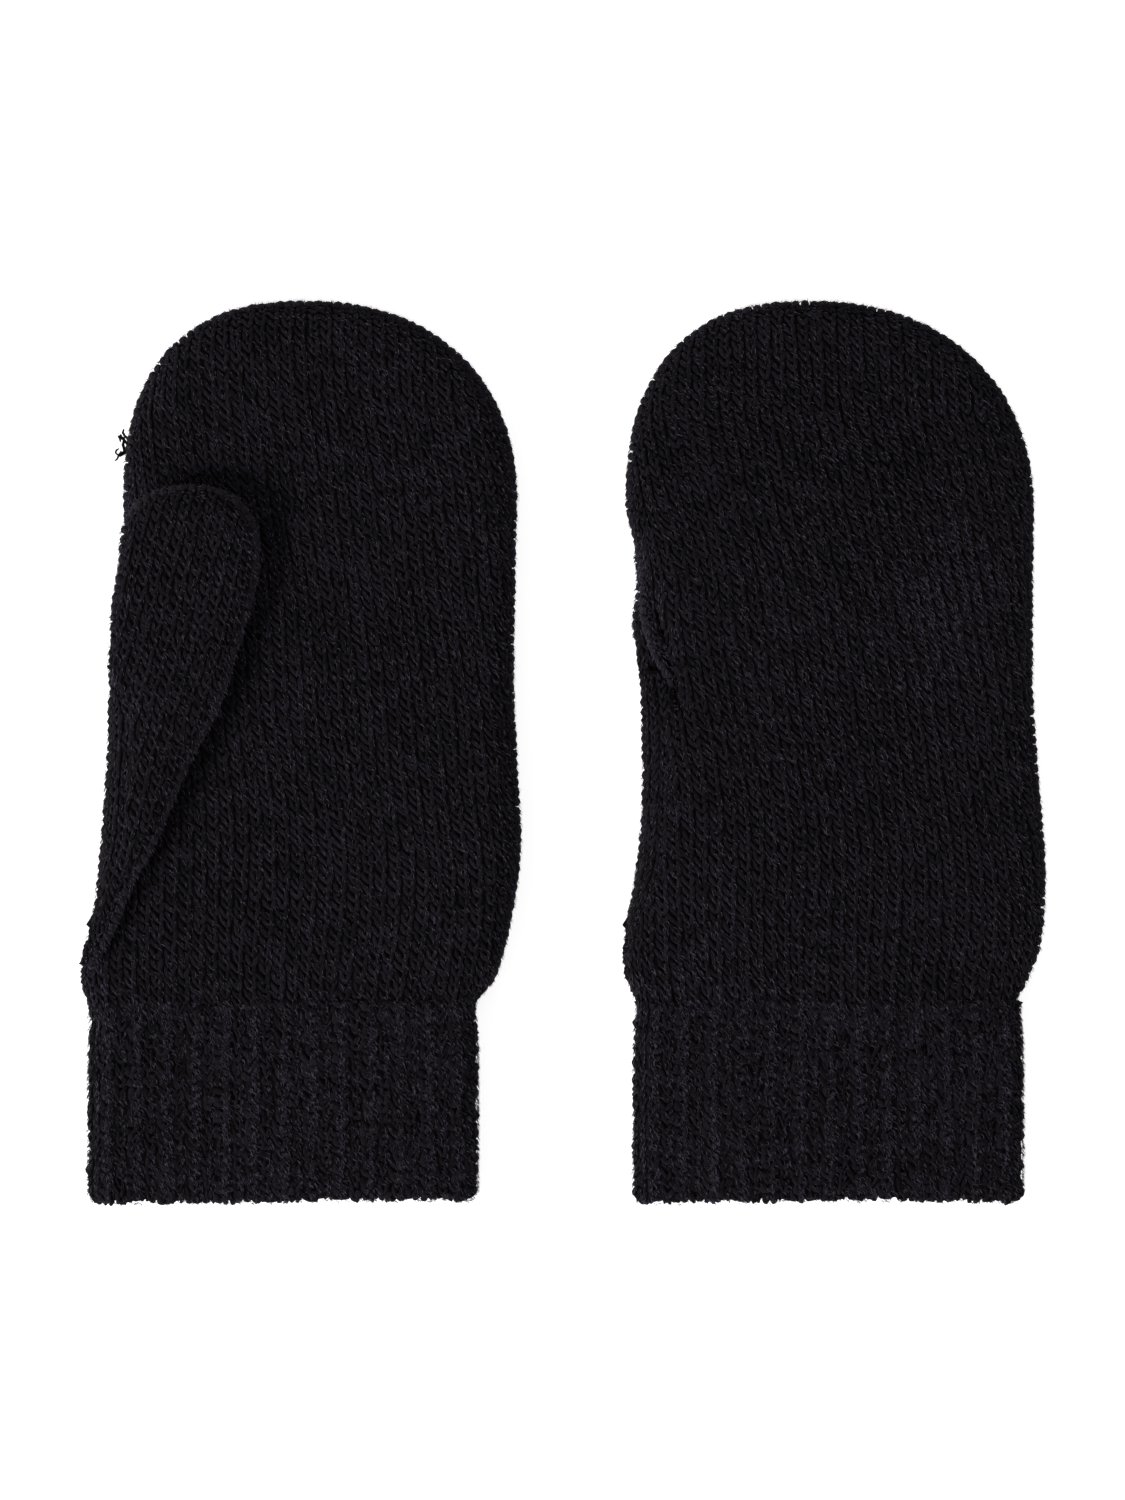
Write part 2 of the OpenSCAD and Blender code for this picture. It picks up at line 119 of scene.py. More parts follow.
# Where the knit is pilled: x, y, radius and how much more loose fibre lies there
PILLED = (
    ((-35 * MM, -20 * MM, 16 * MM, 0.25),),
    ((74 * MM, 32 * MM, 13 * MM, 2.5), (33 * MM, -46 * MM, 12 * MM, 0.5),
     (40 * MM, 26 * MM, 14 * MM, 0.4)),
)
# How many wales the knit leans over by at the fingertips, and how soon
LEAN = ((4.6, 1.6), (5.6, 1.8))
# How far the thumb's wales slant from its length
THUMB_SLANT = math.radians(14)
# Loose fibres: share of the full density, and how much they keep to the stitches' crests
UPPER_FLUFF, LOWER_FLUFF = (1.6, 1.0), (0.8, 1.0)
GUSSET_FLUFF, CUFF_FLUFF, SEAM_FLUFF = (1.2, 1.0), (2.1, 0.9), (2.6, 0.0)
FLUFF_LIFT = 0.55 * MM
# Each yarn's colour, how much that varies, its sheen and how fine its fibres are
YARNS = {
    "black_yarn": ("yarn", 0.8, 0.02, 2400.0),
    "sewing_yarn": ("sewing", 0.7, 0.04, 2400.0),
    # The ground's darker colour is painted shade, for the shade between the stitches and between the
    # overlock loops
    "painted_gap_shade": ("shade", 0.3, 0.0, 1800.0),
    # The loose fibres' lighter colour is painted sheen, for the light that thin fibres catch
    "loose_fibre_painted_sheen": ("fibre", 0.7, 0.1, 900.0),
}
# The stage: lamps as (name, place, size, power), then the camera, the floor and the world
LAMPS = (("key", (-0.85, -0.5, 0.85), 0.45, 15.0), ("fill", (0.5, 0.6, 1.0), 0.9, 2.0))
CAMERA_DISTANCE, FRAME_HEIGHT = 1.5, 0.3
FLOOR_REACH, FLOOR_DROP = 3.0, 0.0002
PAPER_GREY, PAPER_GLOW, WORLD_STRENGTH = 0.8, 0.78, 0.3


# ---------------------------------------------------------------- sizes and colours

def length(name, description, value, low, high):
    return bpy.props.FloatProperty(
        name=name, description=description, default=value, min=low, max=high,
        subtype="DISTANCE", unit="LENGTH", precision=5)


def colour(name, description, value):
    return bpy.props.StringProperty(name=name, description=description, default=value)


class MittenSizes(bpy.types.PropertyGroup):
    pair_width: length("Pair width", "Width of the pair as it lies", 0.1936, 0.15, 0.25)
    mitten_length: length("Mitten length", "From hem to fingertips", 0.18, 0.15, 0.22)
    hand_width: length("Hand width", "Width that the outlines are shares of", 0.082, 0.06, 0.1)
    hand_height: length("Hand height", "Height of the hand lying flat", 0.012, 0.008, 0.02)
    cuff_length: length("Cuff length", "Length of the ribbed cuff", 0.039, 0.02, 0.06)
    cuff_width: length("Cuff width", "Width of the cuff lying flat", 0.0786, 0.06, 0.1)
    cuff_height: length("Cuff height", "Height of the cuff lying flat", 0.011, 0.008, 0.015)
    thumb_width: length("Thumb width", "Widest part of the folded thumb", 0.0274, 0.02, 0.035)
    thumb_height: length("Thumb height", "Height of the thumb lying flat", 0.0088, 0.006, 0.012)
    thumb_tip: length("Thumb tip", "Depth of the thumb's round tip", 0.013, 0.008, 0.02)
    thumb_gap: length("Thumb gap", "Gap between thumb and hand", 0.0004, 0.0002, 0.002)
    pleat: length("Pleat depth", "Depth of the pleat that carries the thumb", 0.0056, 0.004, 0.008)
    drape: length("Drape", "Distance in which the hand comes down beside the thumb under it",
                  0.045, 0.02, 0.06)


class KnitSizes(bpy.types.PropertyGroup):
    wales: bpy.props.IntProperty(
        name="Wales across the hand", description="Columns of stitches on one side of the hand",
        default=30, min=20, max=44)
    course: length("Course", "Height of one row of stitches", 0.00182, 0.001, 0.003)
    thumb_wale: length("Thumb wale", "Width of a column of stitches on the thumb",
                       0.00255, 0.0018, 0.0035)
    cuff_wales: bpy.props.IntProperty(
        name="Wales round the cuff", default=58, min=40, max=80, step=2,
        description="Knit and purl columns round the cuff, an even number")
    cuff_course: length("Cuff course", "Height of one row of the rib", 0.0016, 0.001, 0.003)
    rib_depth: length("Rib depth", "How far the furrows lie behind the ribs", 0.0003, 0.0002, 0.002)
    sink: length("Stitch depth", "How far the stitches' feet lie below the surface",
                 0.00078, 0.0003, 0.0015)
    bead: length("Bead pitch", "Distance between the overlock loops", 0.0019, 0.001, 0.003)
    fuzz: bpy.props.FloatProperty(
        name="Fuzz", description="Loose fibres per square metre",
        default=1800000, min=0, max=2500000)
    seed: bpy.props.IntProperty(
        name="Seed", description="Seed of everything random", default=7, min=0, max=999)


class MittenColours(bpy.types.PropertyGroup):
    yarn: colour("Yarn", "Dyed yarn, sRGB hex", "#121015")
    sewing: colour("Sewing yarn", "Yarn of the overlocked edges, sRGB hex", "#26222A")
    # Painted shade: darker than the yarn, this colour stands in for the shade seen between the stitches
    shade: colour("Gap shade", "Painted shade seen between the stitches, sRGB hex", "#070608")
    # Painted sheen: lighter than the yarn, this colour stands in for the light that the loose fibres catch
    fibre: colour("Fibre", "Loose fibres, sRGB hex", "#5F5969")
    floor: colour("Floor", "Surface that the mittens lie on, sRGB hex", "#FFFFFF")


# ---------------------------------------------------------------- shape of the mittens

def mix(a, b, t):
    return a + (b - a) * t


def ramp(a, b, v):
    t = np.clip((np.asarray(v, float) - a) / (b - a), 0, 1)
    return t * t * (3 - 2 * t)


def curve(v, table):
    """Smooth curve through (place, value) points."""
    p = np.array(table, float)
    n = len(p)
    ahead, behind = p[np.minimum(np.arange(n) + 1, n - 1)], p[np.maximum(np.arange(n) - 1, 0)]
    slopes = (ahead[:, 1] - behind[:, 1]) / (ahead[:, 0] - behind[:, 0])
    v = np.clip(np.asarray(v, float), p[0, 0], p[-1, 0])
    i = np.clip(np.searchsorted(p[:, 0], v, side="right") - 1, 0, n - 2)
    w = p[i + 1, 0] - p[i, 0]
    t = (v - p[i, 0]) / w
    return (p[i, 1] * (1 + 2 * t) * (1 - t) ** 2 + w * slopes[i] * t * (1 - t) ** 2
            + p[i + 1, 1] * t * t * (3 - 2 * t) + w * slopes[i + 1] * t * t * (t - 1))


class Mitten:
    """One mitten as it lies: the left one palm up, the right one palm down, thumb under it."""

    def __init__(self, side):
        self.side = side
        self.size = bpy.context.scene.mitten_sizes
        v = np.linspace(0, 1, 200)
        edge = self.size.pair_width / 2
        self.shift = (-edge - self.thumb_side(v).min() if side == LEFT
                      else edge - self.hand_side(v).max())
        self.arc_base = self.size.mitten_length - FINGERTIP_DEPTH[side]
        self.far = UP if side == LEFT else DOWN

    def height(self, v):
        return mix(self.size.cuff_length, self.arc_base, v)

    def share(self, y):
        return (y - self.size.cuff_length) / (self.arc_base - self.size.cuff_length)

    def gathering(self, v):
        """How much wider each side of the hand is than its outline, to fit the cuff at its lower end."""
        right, left = LITTLE_FINGER_SIDE[self.side][0][1], THUMB_SIDE[self.side][0][1]
        outline = self.size.hand_width * (right - left) / 2
        return ((self.size.cuff_width / 2 + CUFF_OVERHANG[self.side] - outline)
                * (1 - ramp(0, GATHERED_SHARE, v)))

    def thumb_side(self, v):
        return self.size.hand_width * curve(v, THUMB_SIDE[self.side]) - self.gathering(v)

    def hand_side(self, v):
        return self.size.hand_width * curve(v, LITTLE_FINGER_SIDE[self.side]) + self.gathering(v)

    def flap(self, v):
        return self.size.thumb_width * curve(v, THUMB_FLAP)

    def half(self, k, v):
        if k == HAND:
            return mix(self.size.cuff_height, self.size.hand_height, ramp(0, 0.12, v)) / 2
        return mix(0.42, 1, ramp(0.08, 0.36, v)) * self.size.thumb_height / 2

    def closed(self, v):
        """1 where the thumb side is sewn shut, 0 where it opens into the gusset."""
        return 1 - ramp(0.12, 0.24, v) * (1 - ramp(0.57, 0.68, v))

    def tuck(self, k, v):
        """How far the hand's lower end draws in to meet the cuff."""
        return TUCK * (1 - ramp(-0.02, 0.06, v)) if k == HAND else 0.0

    def rim_left(self, k, v):
        pleat, seam = self.size.pleat, SEWN_INSET
        if k == HAND:
            inset = np.where(v < CROTCH, pleat * ramp(0.06, 0.3, v),
                             mix(pleat, seam, ramp(CROTCH, 0.86, v)))
        else:
            inset = 0.9 * pleat * ramp(0.1, 0.36, v) * (1 - ramp(0.57, 0.68, v))
        return self.thumb_side(v) + inset + self.tuck(k, v)

    def rim_right(self, k, v):
        edge = self.hand_side(v) if k == HAND else self.thumb_side(v) + self.flap(v)
        return edge - SEWN_INSET - self.tuck(k, v)

    def first_share(self, k):
        return 0.0 if k == HAND else THUMB_FLAP[0][0]

    def last_share(self, k):
        return 1.0 if k == HAND else THUMB_FLAP[-1][0]

    def arc(self, k):
        """Where a pouch's rounded end starts, and how deep it is."""
        depth = FINGERTIP_DEPTH[self.side] if k == HAND else self.size.thumb_tip
        return self.height(self.last_share(k)), depth - SEWN_INSET

    def middle(self, k, v):
        if k == HAND:
            middle = self.size.hand_width * HAND_MIDDLE[self.side]
            return np.full_like(np.asarray(v, float), middle)
        return (self.rim_left(k, v) + self.rim_right(k, v)) / 2

    def powers(self, k, left):
        if k == HAND:
            return np.where(left, *ARC_POWER)
        return np.full(np.shape(left), THUMB_ARC_POWER)

    def rise(self, x, y):
        """How far the right hand is lifted by the thumb beneath it."""
        if self.side == LEFT:
            return np.zeros_like(x)
        v = self.share(y)
        edge = self.thumb_side(v) + self.flap(v)
        return ((2 * self.half(THUMB, v) + self.size.thumb_gap) * ramp(0, 0.1, v)
                * (1 - ramp(1.03, 1.36, v)) * (1 - ramp(0, 1, (x - edge - MM) / self.size.drape)))

    def layer(self, k, x, y):
        """Height of a pouch's middle layer."""
        v = self.share(y)
        if k == HAND:
            return self.half(HAND, v) + self.rise(x, y)
        if self.side == LEFT:
            return 2 * self.half(HAND, v) + self.size.thumb_gap + self.half(THUMB, v)
        return self.half(THUMB, v)

    def fold_height(self, v):
        """Height of the fold that carries the thumb."""
        return self.half(HAND, v) + self.half(THUMB, v) + self.size.thumb_gap / 2

    def place(self, x, y, z):
        return np.stack([x + self.shift, y - self.size.mitten_length / 2, z], axis=-1)

    def spare(self, k, shut):
        """Cloth that the rounded edge takes up."""
        return (math.pi / 2 - 1) * ROLL[k] * shut

    def flat_edges(self, k, y):
        """Middle line and both edges of a pouch's cloth laid out flat, at a height."""
        v = np.minimum(self.share(y), self.last_share(k))
        mid = self.middle(k, v)
        return (mid, self.rim_left(k, v) - self.spare(k, self.closed(self.share(y))),
                self.rim_right(k, v) + self.spare(k, 1))

    def point(self, k, face, x, y, sink=0.0):
        """Where a point of a pouch's flat cloth lies, sink below its surface."""
        v = np.minimum(self.share(y), self.last_share(k))
        start, depth = self.arc(k)
        mid = self.middle(k, v)
        left = x < mid
        shut = np.where(left, self.closed(self.share(y)), 1.0)
        rim = np.where(left, self.rim_left(k, v), self.rim_right(k, v))
        spare = self.spare(k, shut)
        base, up, across = np.minimum(y, start), np.maximum(0, y - start), x - mid
        power = self.powers(k, left)
        reach = np.maximum(np.hypot(across, up), 1e-9)

        def rim_at(half, deep):
            n = (np.abs(across / half) ** power + (up / deep) ** power) ** (1 / power)
            return reach / np.maximum(n, 1e-9)

        real = rim_at(np.abs(rim - mid), depth)
        flat = rim_at(np.abs(rim - mid) + spare, depth + self.spare(k, 1))
        inwards = flat - reach
        soft = np.maximum(ROLL[k] * shut, 1e-5)
        angle = np.clip(inwards / soft, 0, math.pi / 2)
        inset = (soft * (1 - np.cos(angle)) + np.maximum(0, inwards - soft * math.pi / 2)
                 + 0.8 * np.maximum(0, -inwards) + sink * np.cos(angle) * shut)
        scale = np.where(reach > 1e-6, (real - inset) / reach, 1)
        xx, yy = mid + across * scale, base + up * scale
        half = self.half(k, self.share(yy)) - sink
        crown = mix(1, np.sin(angle), shut)
        z = self.layer(k, xx, yy) + face * (half * crown - 0.5 * np.maximum(0, -inwards)
                                            - self.hollows(k, face, xx, yy) * crown)
        if face == (self.far if k == THUMB else -self.far):
            z = z + face * -self.towards_fold(xx, yy, z) * (1 - self.closed(self.share(y)))
        return self.place(xx, yy, z)

    def towards_fold(self, x, y, z):
        """How far the outer cloth leaves its flat height on its way round the fold."""
        v = self.share(y)
        away = np.clip((x - self.thumb_side(v)) / self.fold_reach(v), 0, 1)
        drop = 1 - (1 - (1 - away) ** FOLD_POWER) ** (1 / FOLD_POWER)
        return drop * np.abs(z - self.fold_height(v))

    def fold_reach(self, v):
        """Width over which the fold rounds off."""
        return np.maximum(12 * MM * ramp(0.1, 0.4, v), 2 * MM)

    def hollows(self, k, face, x, y):
        """Dents and soft unevenness of the hand's cloth."""
        if k == THUMB:
            return 0.25 * MM * (1 + np.sin(x * 410 + y * 130 + 1.1) * np.cos(y * 240 + 0.4))
        wx, wy = x + self.shift, y - self.size.mitten_length / 2
        side = self.side * 2.1 + (0 if face == UP else 1.3)
        down = 0.25 * MM * (
            1 + np.sin(wx * 130 + wy * 55 + side) * np.cos(wy * 95 - wx * 35 + 2 * side))
        down = down + 0.14 * MM * (1 + np.sin(wx * 290 - wy * 180 + side * 3))
        if face == UP:
            for cx, cy, r, deep in DENTS[self.side]:
                down = down + deep * np.exp(-((wx - cx) ** 2 + ((wy - cy) * 1.5) ** 2) / r ** 2)
        down = down + CREASE_DEPTH * self.creased(face, wx, wy)
        gathered = 1 - ramp(0, 0.07, self.share(y))
        return down + 0.3 * MM * gathered * (1 + np.cos(wx * 2 * math.pi / (5.85 * MM)))

    def creased(self, face, x, y):
        """1 in the bottom of the crease, 0 away from it."""
        if face == DOWN or self.side == LEFT:
            return np.zeros_like(x)
        line = np.array(CREASE)[::-1]
        along = (y - line[0, 1]) / np.ptp(line[:, 1])
        beside = x - np.interp(y, line[:, 1], line[:, 0])
        return (ramp(-0.12, 0.2, along) * (1 - ramp(0.55, 1.1, along))
                * np.exp(-(beside / CREASE_WIDTH) ** 2))

    def rim_line(self, k, first, pitch):
        """Points along a pouch's sewn rim, evenly spaced, and which way is outwards at each."""
        start, depth = self.arc(k)
        v_up = np.linspace(first, self.last_share(k), 120)
        v_down = np.linspace(self.last_share(k), self.first_share(k), 240)
        mid = float(self.middle(k, np.array(self.last_share(k))))
        turn = np.linspace(0, math.pi / 2, 160)
        parts = [(self.rim_left(k, v_up), self.height(v_up))]
        for rim, power, angles in (
                (self.rim_left(k, v_up[-1:])[0], float(self.powers(k, np.array(True))), turn),
                (self.rim_right(k, v_up[-1:])[0], float(self.powers(k, np.array(False))), turn[::-1])):
            parts.append((mid + (rim - mid) * np.cos(angles) ** (2 / power),
                          start + depth * np.sin(angles) ** (2 / power)))
        parts.append((self.rim_right(k, v_down), self.height(v_down)))
        x = np.concatenate([p[0] for p in parts])
        y = np.concatenate([p[1] for p in parts])
        run = np.concatenate([[0], np.cumsum(np.hypot(np.diff(x), np.diff(y)))])
        at = np.linspace(0, run[-1], max(int(run[-1] / pitch), 8))
        x, y = np.interp(at, run, x), np.interp(at, run, y)
        tx, ty = np.gradient(x), np.gradient(y)
        return self.place(x, y, self.layer(k, x, y)), np.arctan2(tx, -ty)

    def arch(self, v, outer, count, over=0.0):
        """A row of a gusset strip from the hand's rim round to the thumb's rim, for each share v."""
        v = np.asarray(v, float)[:, None]
        y = self.height(v)
        hand_face, thumb_face = (-self.far, self.far) if outer else (self.far, -self.far)
        hx, tx = self.rim_left(HAND, v), self.rim_left(THUMB, v)
        eps = 0.05 * MM
        hand = self.point(HAND, hand_face, hx - self.spare(HAND, self.closed(v)) + eps, y)
        thumb = self.point(THUMB, thumb_face, tx - self.spare(THUMB, self.closed(v)) + eps, y)
        x0 = self.thumb_side(v) + self.shift + (0.2 * MM if outer else 2.9 * MM)
        power = FOLD_POWER
        away = np.ones_like(v)
        if outer:
            away = np.clip((hx - self.thumb_side(v)) / self.fold_reach(v), 1e-3, 1)
        most = np.arccos(np.clip(1 - away, 0, 1) ** (power / 2))
        a = np.linspace(-1 - over, 1 + over, count)[None, :] * most
        a = np.clip(a, -math.pi / 2 - 0.3, math.pi / 2 + 0.3)
        cx = (1 - np.abs(np.cos(a)) ** (2 / power) * np.sign(np.cos(a))) / np.maximum(
            1 - np.cos(most) ** (2 / power), 1e-6)
        sz = np.sign(a) * np.abs(np.sin(np.abs(a))) ** (2 / power) / np.sin(most) ** (2 / power)
        ex = np.where(a < 0, hand[..., 0], thumb[..., 0])
        zm = (hand[..., 2] + thumb[..., 2]) / 2
        ez = np.where(a < 0, hand[..., 2], thumb[..., 2])
        yy = np.broadcast_to(y - self.size.mitten_length / 2, cx.shape)
        return np.stack([x0 + (ex - x0) * cx, yy, zm + (ez - zm) * np.abs(sz)], axis=-1)

    def cuff_middle(self):
        return (float(self.thumb_side(0)) + float(self.hand_side(0))) / 2 + self.shift

    def cuff(self, wale, rise, sink):
        """Where a point of the cuff lies: wale columns round it, rise above the hem along the cloth."""
        knit = bpy.context.scene.knit_sizes
        w, h = self.size.cuff_width, self.size.cuff_height
        straight, r = w - h, h / 2
        round_it = 2 * straight + math.pi * h
        pitch = round_it / knit.cuff_wales
        s = np.mod(pitch * (wale + 0.22 / math.pi * np.sin(math.pi * (wale - 0.5))), round_it)
        ridge = 0.5 + 0.5 * np.cos(math.pi * (wale - 0.5))
        quarter = math.pi * r / 2
        marks = [quarter, quarter + straight, 3 * quarter + straight,
                 3 * quarter + 2 * straight]
        cases = [s < marks[0], s < marks[1], s < marks[2], s < marks[3]]
        turn = np.select(cases, [s / r, math.pi / 2, math.pi / 2 + (s - marks[1]) / r, 1.5 * math.pi],
                         1.5 * math.pi + (s - marks[3]) / r)
        cx = np.select(cases, [straight / 2, straight / 2 - (s - marks[0]), -straight / 2,
                               -straight / 2 + (s - marks[2])], straight / 2)
        phi = np.clip(rise / HEM, -math.pi / 2, math.pi / 2)
        y = HEM * (1 - np.cos(phi)) + np.maximum(0, np.abs(rise) - HEM * math.pi / 2)
        inward = sink + knit.rib_depth * (1 - ridge) + HEM * (1 - np.sin(phi))
        out = r - inward
        x = cx + out * np.cos(turn)
        z = r + out * np.sin(turn)
        past = np.clip(np.abs(x) - (w / 2 - HEM_CORNER), 0, HEM_CORNER)
        near_hem = np.exp(-y / (5 * MM))
        uneven = 0.35 + 0.3 * np.sin(2.4 * wale + self.side) + 0.25 * np.sin(1.1 * wale + 2)
        y = (y + (HEM_CORNER - np.sqrt(HEM_CORNER ** 2 - past ** 2)) * near_hem
             + uneven * MM * (1 - ridge) * near_hem)
        waist = 1 - 0.014 * ramp(0.75, 1, y / self.size.cuff_length)
        z = r + (z - r) * (1 - 0.1 * ramp(0.97, 1.04, y / self.size.cuff_length))
        y = y + 0.3 * MM * np.sin(x * 70 + self.side) * near_hem
        y = y - self.size.mitten_length / 2
        return np.stack([x * waist + self.cuff_middle(), y, z], axis=-1)


# ---------------------------------------------------------------- meshes

def new_object(name, points, faces, smooth=True):
    mesh = bpy.data.meshes.new(name)
    mesh.from_pydata([tuple(p) for p in points], [], faces)
    mesh.update()
    if smooth:
        mesh.shade_smooth()
    obj = bpy.data.objects.new(name, mesh)
    bpy.context.scene.collection.objects.link(obj)
    return obj


def grid_faces(rows, columns, flip, first=0):
    i = np.arange(rows - 1)[:, None] * columns + np.arange(columns - 1)[None, :] + first
    a, b, c, d = i, i + 1, i + columns + 1, i + columns
    quads = np.stack([a, d, c, b] if flip else [a, b, c, d], axis=-1)
    return quads.reshape(-1, 4)


def panel(name, points, stitches, flip, keep=None, wear_and_sheen=None):
    """A sheet that stitches are laid on: points and stitch counts are grids of the same shape,
    and worn says how much more loose fibre lies at each point."""
    rows, columns = points.shape[:2]
    faces = grid_faces(rows, columns, flip)
    if keep is not None:
        flat = keep.ravel()
        faces = faces[flat[faces].all(axis=1)]
    obj = new_object(name, points.reshape(-1, 3), faces.tolist())
    layer = obj.data.uv_layers.new(name="stitches")
    corner = np.zeros(len(obj.data.loops), np.int32)
    obj.data.loops.foreach_get("vertex_index", corner)
    uv = stitches.reshape(-1, 2)[corner] / 100
    layer.data.foreach_set("uv", uv.astype(np.float32).ravel())
    if wear_and_sheen is not None:
        pilling = obj.data.attributes.new("pilling", "FLOAT", "POINT")
        pilling.data.foreach_set("value", wear_and_sheen.astype(np.float32).ravel())
    return obj


def slab(name, outer, inner, flip, loop=False):
    """A closed piece of cloth between two grids of points. A loop's last column meets its first."""
    rows, columns = outer.shape[:2]
    n = rows * columns
    faces = [grid_faces(rows, columns, flip), grid_faces(rows, columns, not flip, n)]
    index = np.arange(n).reshape(rows, columns)
    edges = [index[0, :], index[-1, ::-1]]
    if loop:
        a, b = index[:, -1], index[:, 0]
        quads = np.stack([a[:-1], b[:-1], b[1:], a[1:]], axis=-1)
        quads = quads[:, ::-1] if flip else quads
        faces += [quads, quads[:, ::-1] + n]
        edges = [np.append(index[0, :], index[0, 0]), np.append(index[-1, ::-1], index[-1, -1])]
    else:
        edges += [index[:, -1], index[::-1, 0]]
    for line in edges:
        quads = np.stack([line[1:], line[:-1], line[:-1] + n, line[1:] + n], axis=-1)
        faces.append(quads[:, ::-1] if flip else quads)
    points = np.concatenate([outer.reshape(-1, 3), inner.reshape(-1, 3)])
    return new_object(name, points, np.concatenate(faces).tolist())


def hose_faces(rings, sides):
    """Faces of a closed tube whose points go round it ring by ring."""
    faces = []
    for i in range(rings - 1):
        for j in range(sides):
            a, b = i * sides + j, i * sides + (j + 1) % sides
            faces.append((a, b, b + sides, a + sides))
    last = (rings - 1) * sides
    return faces + [tuple(reversed(range(sides))), tuple(range(last, last + sides))]


def tube(centres, widths, depths, side, sides=6):
    """A yarn that comes to a point at both ends. side is the direction its width lies in."""
    centres, side = np.array(centres, float), np.array(side, float)
    points, faces = [centres[0]], []
    turn = np.linspace(0, 2 * math.pi, sides, endpoint=False)
    for c, w, d in zip(centres[1:-1], widths, depths):
        for t in turn:
            points.append(c + side * w * math.cos(t) + np.array([0, 0, d * math.sin(t)]))
    points.append(centres[-1])
    last = len(points) - 1
    rings = len(centres) - 2
    for j in range(sides):
        k = (j + 1) % sides
        faces.append((0, 1 + j, 1 + k))
        faces.append((last, last - sides + k, last - sides + j))
        for r in range(rings - 1):
            a, b = 1 + r * sides + j, 1 + r * sides + k
            faces.append((a, a + sides, b + sides, b))
    return np.array(points), faces


def joined(parts):
    points, faces = [], []
    for p, f in parts:
        start = sum(len(x) for x in points)
        points.append(p)
        faces += [tuple(i + start for i in face) for face in f]
    return np.concatenate(points), faces


def outward(points, faces):
    """The same faces, turned to face outwards."""
    volume = 0.0
    for f in faces:
        for i in range(1, len(f) - 1):
            a, b, c = points[f[0]], points[f[i]], points[f[i + 1]]
            volume += float(np.dot(a, np.cross(b, c)))
    return faces if volume > 0 else [tuple(reversed(f)) for f in faces]


def knit_stitch():
    """The V of one knit stitch: x and y in stitches, z in metres. One leg stands nearly upright."""
    legs = []
    ys, zs = (0.95, 0.56, 0.08, -0.38, -0.68), (-0.2, 0.16, 0.34, 0.16, -0.2)
    for xs in ((-0.37, -0.33, -0.18, 0.03, 0.08), (0.37, 0.36, 0.29, 0.18, 0.10)):
        centres = [(x, y, z * MM) for x, y, z in zip(xs, ys, zs)]
        p, f = tube(centres, (0.15, 0.195, 0.16), (0.33 * MM, 0.46 * MM, 0.34 * MM), (1, 0, 0))
        legs.append((p, outward(p, f)))
    return new_object("knit_stitch", *joined(legs))


def fibre():
    """A loose bent fibre along z: thickest in its middle, with a point at both ends."""
    thick = 0.09
    turn = [t * 2 * math.pi / 3 for t in range(3)]
    middle = [((0.3 + thick * math.cos(t)) * MM, thick * math.sin(t) * MM, 0.8 * MM) for t in turn]
    points = np.array([(0, 0, 0), *middle, (0.1 * MM, 0.25 * MM, 1.6 * MM)])
    faces = []
    for j in range(3):
        a, b = 1 + j, 1 + (j + 1) % 3
        faces += [(0, b, a), (4, a, b)]
    return new_object("fibre", points, outward(points, faces))


def bead():
    """One loop of overlocking yarn round an edge that runs along y, outside towards x."""
    turn = np.linspace(-1.75, 1.75, 9)
    points, sides = [], 6
    for i, t in enumerate(turn):
        x, y, z = (-0.9 + 1.0 * math.cos(t)) * MM, 0.32 * t * MM, 1.45 * math.sin(t) * MM
        r = 0.5 * MM * (0.45 if i in (0, len(turn) - 1) else 1)
        for j in range(sides):
            a = j * 2 * math.pi / sides
            points.append((x + r * math.cos(a) * math.cos(t), y + 1.9 * r * math.sin(a),
                           z + r * math.cos(a) * math.sin(t)))
    points = np.array(points)
    return new_object("bead", points, outward(points, hose_faces(len(turn), sides)))


# ---------------------------------------------------------------- geometry nodes

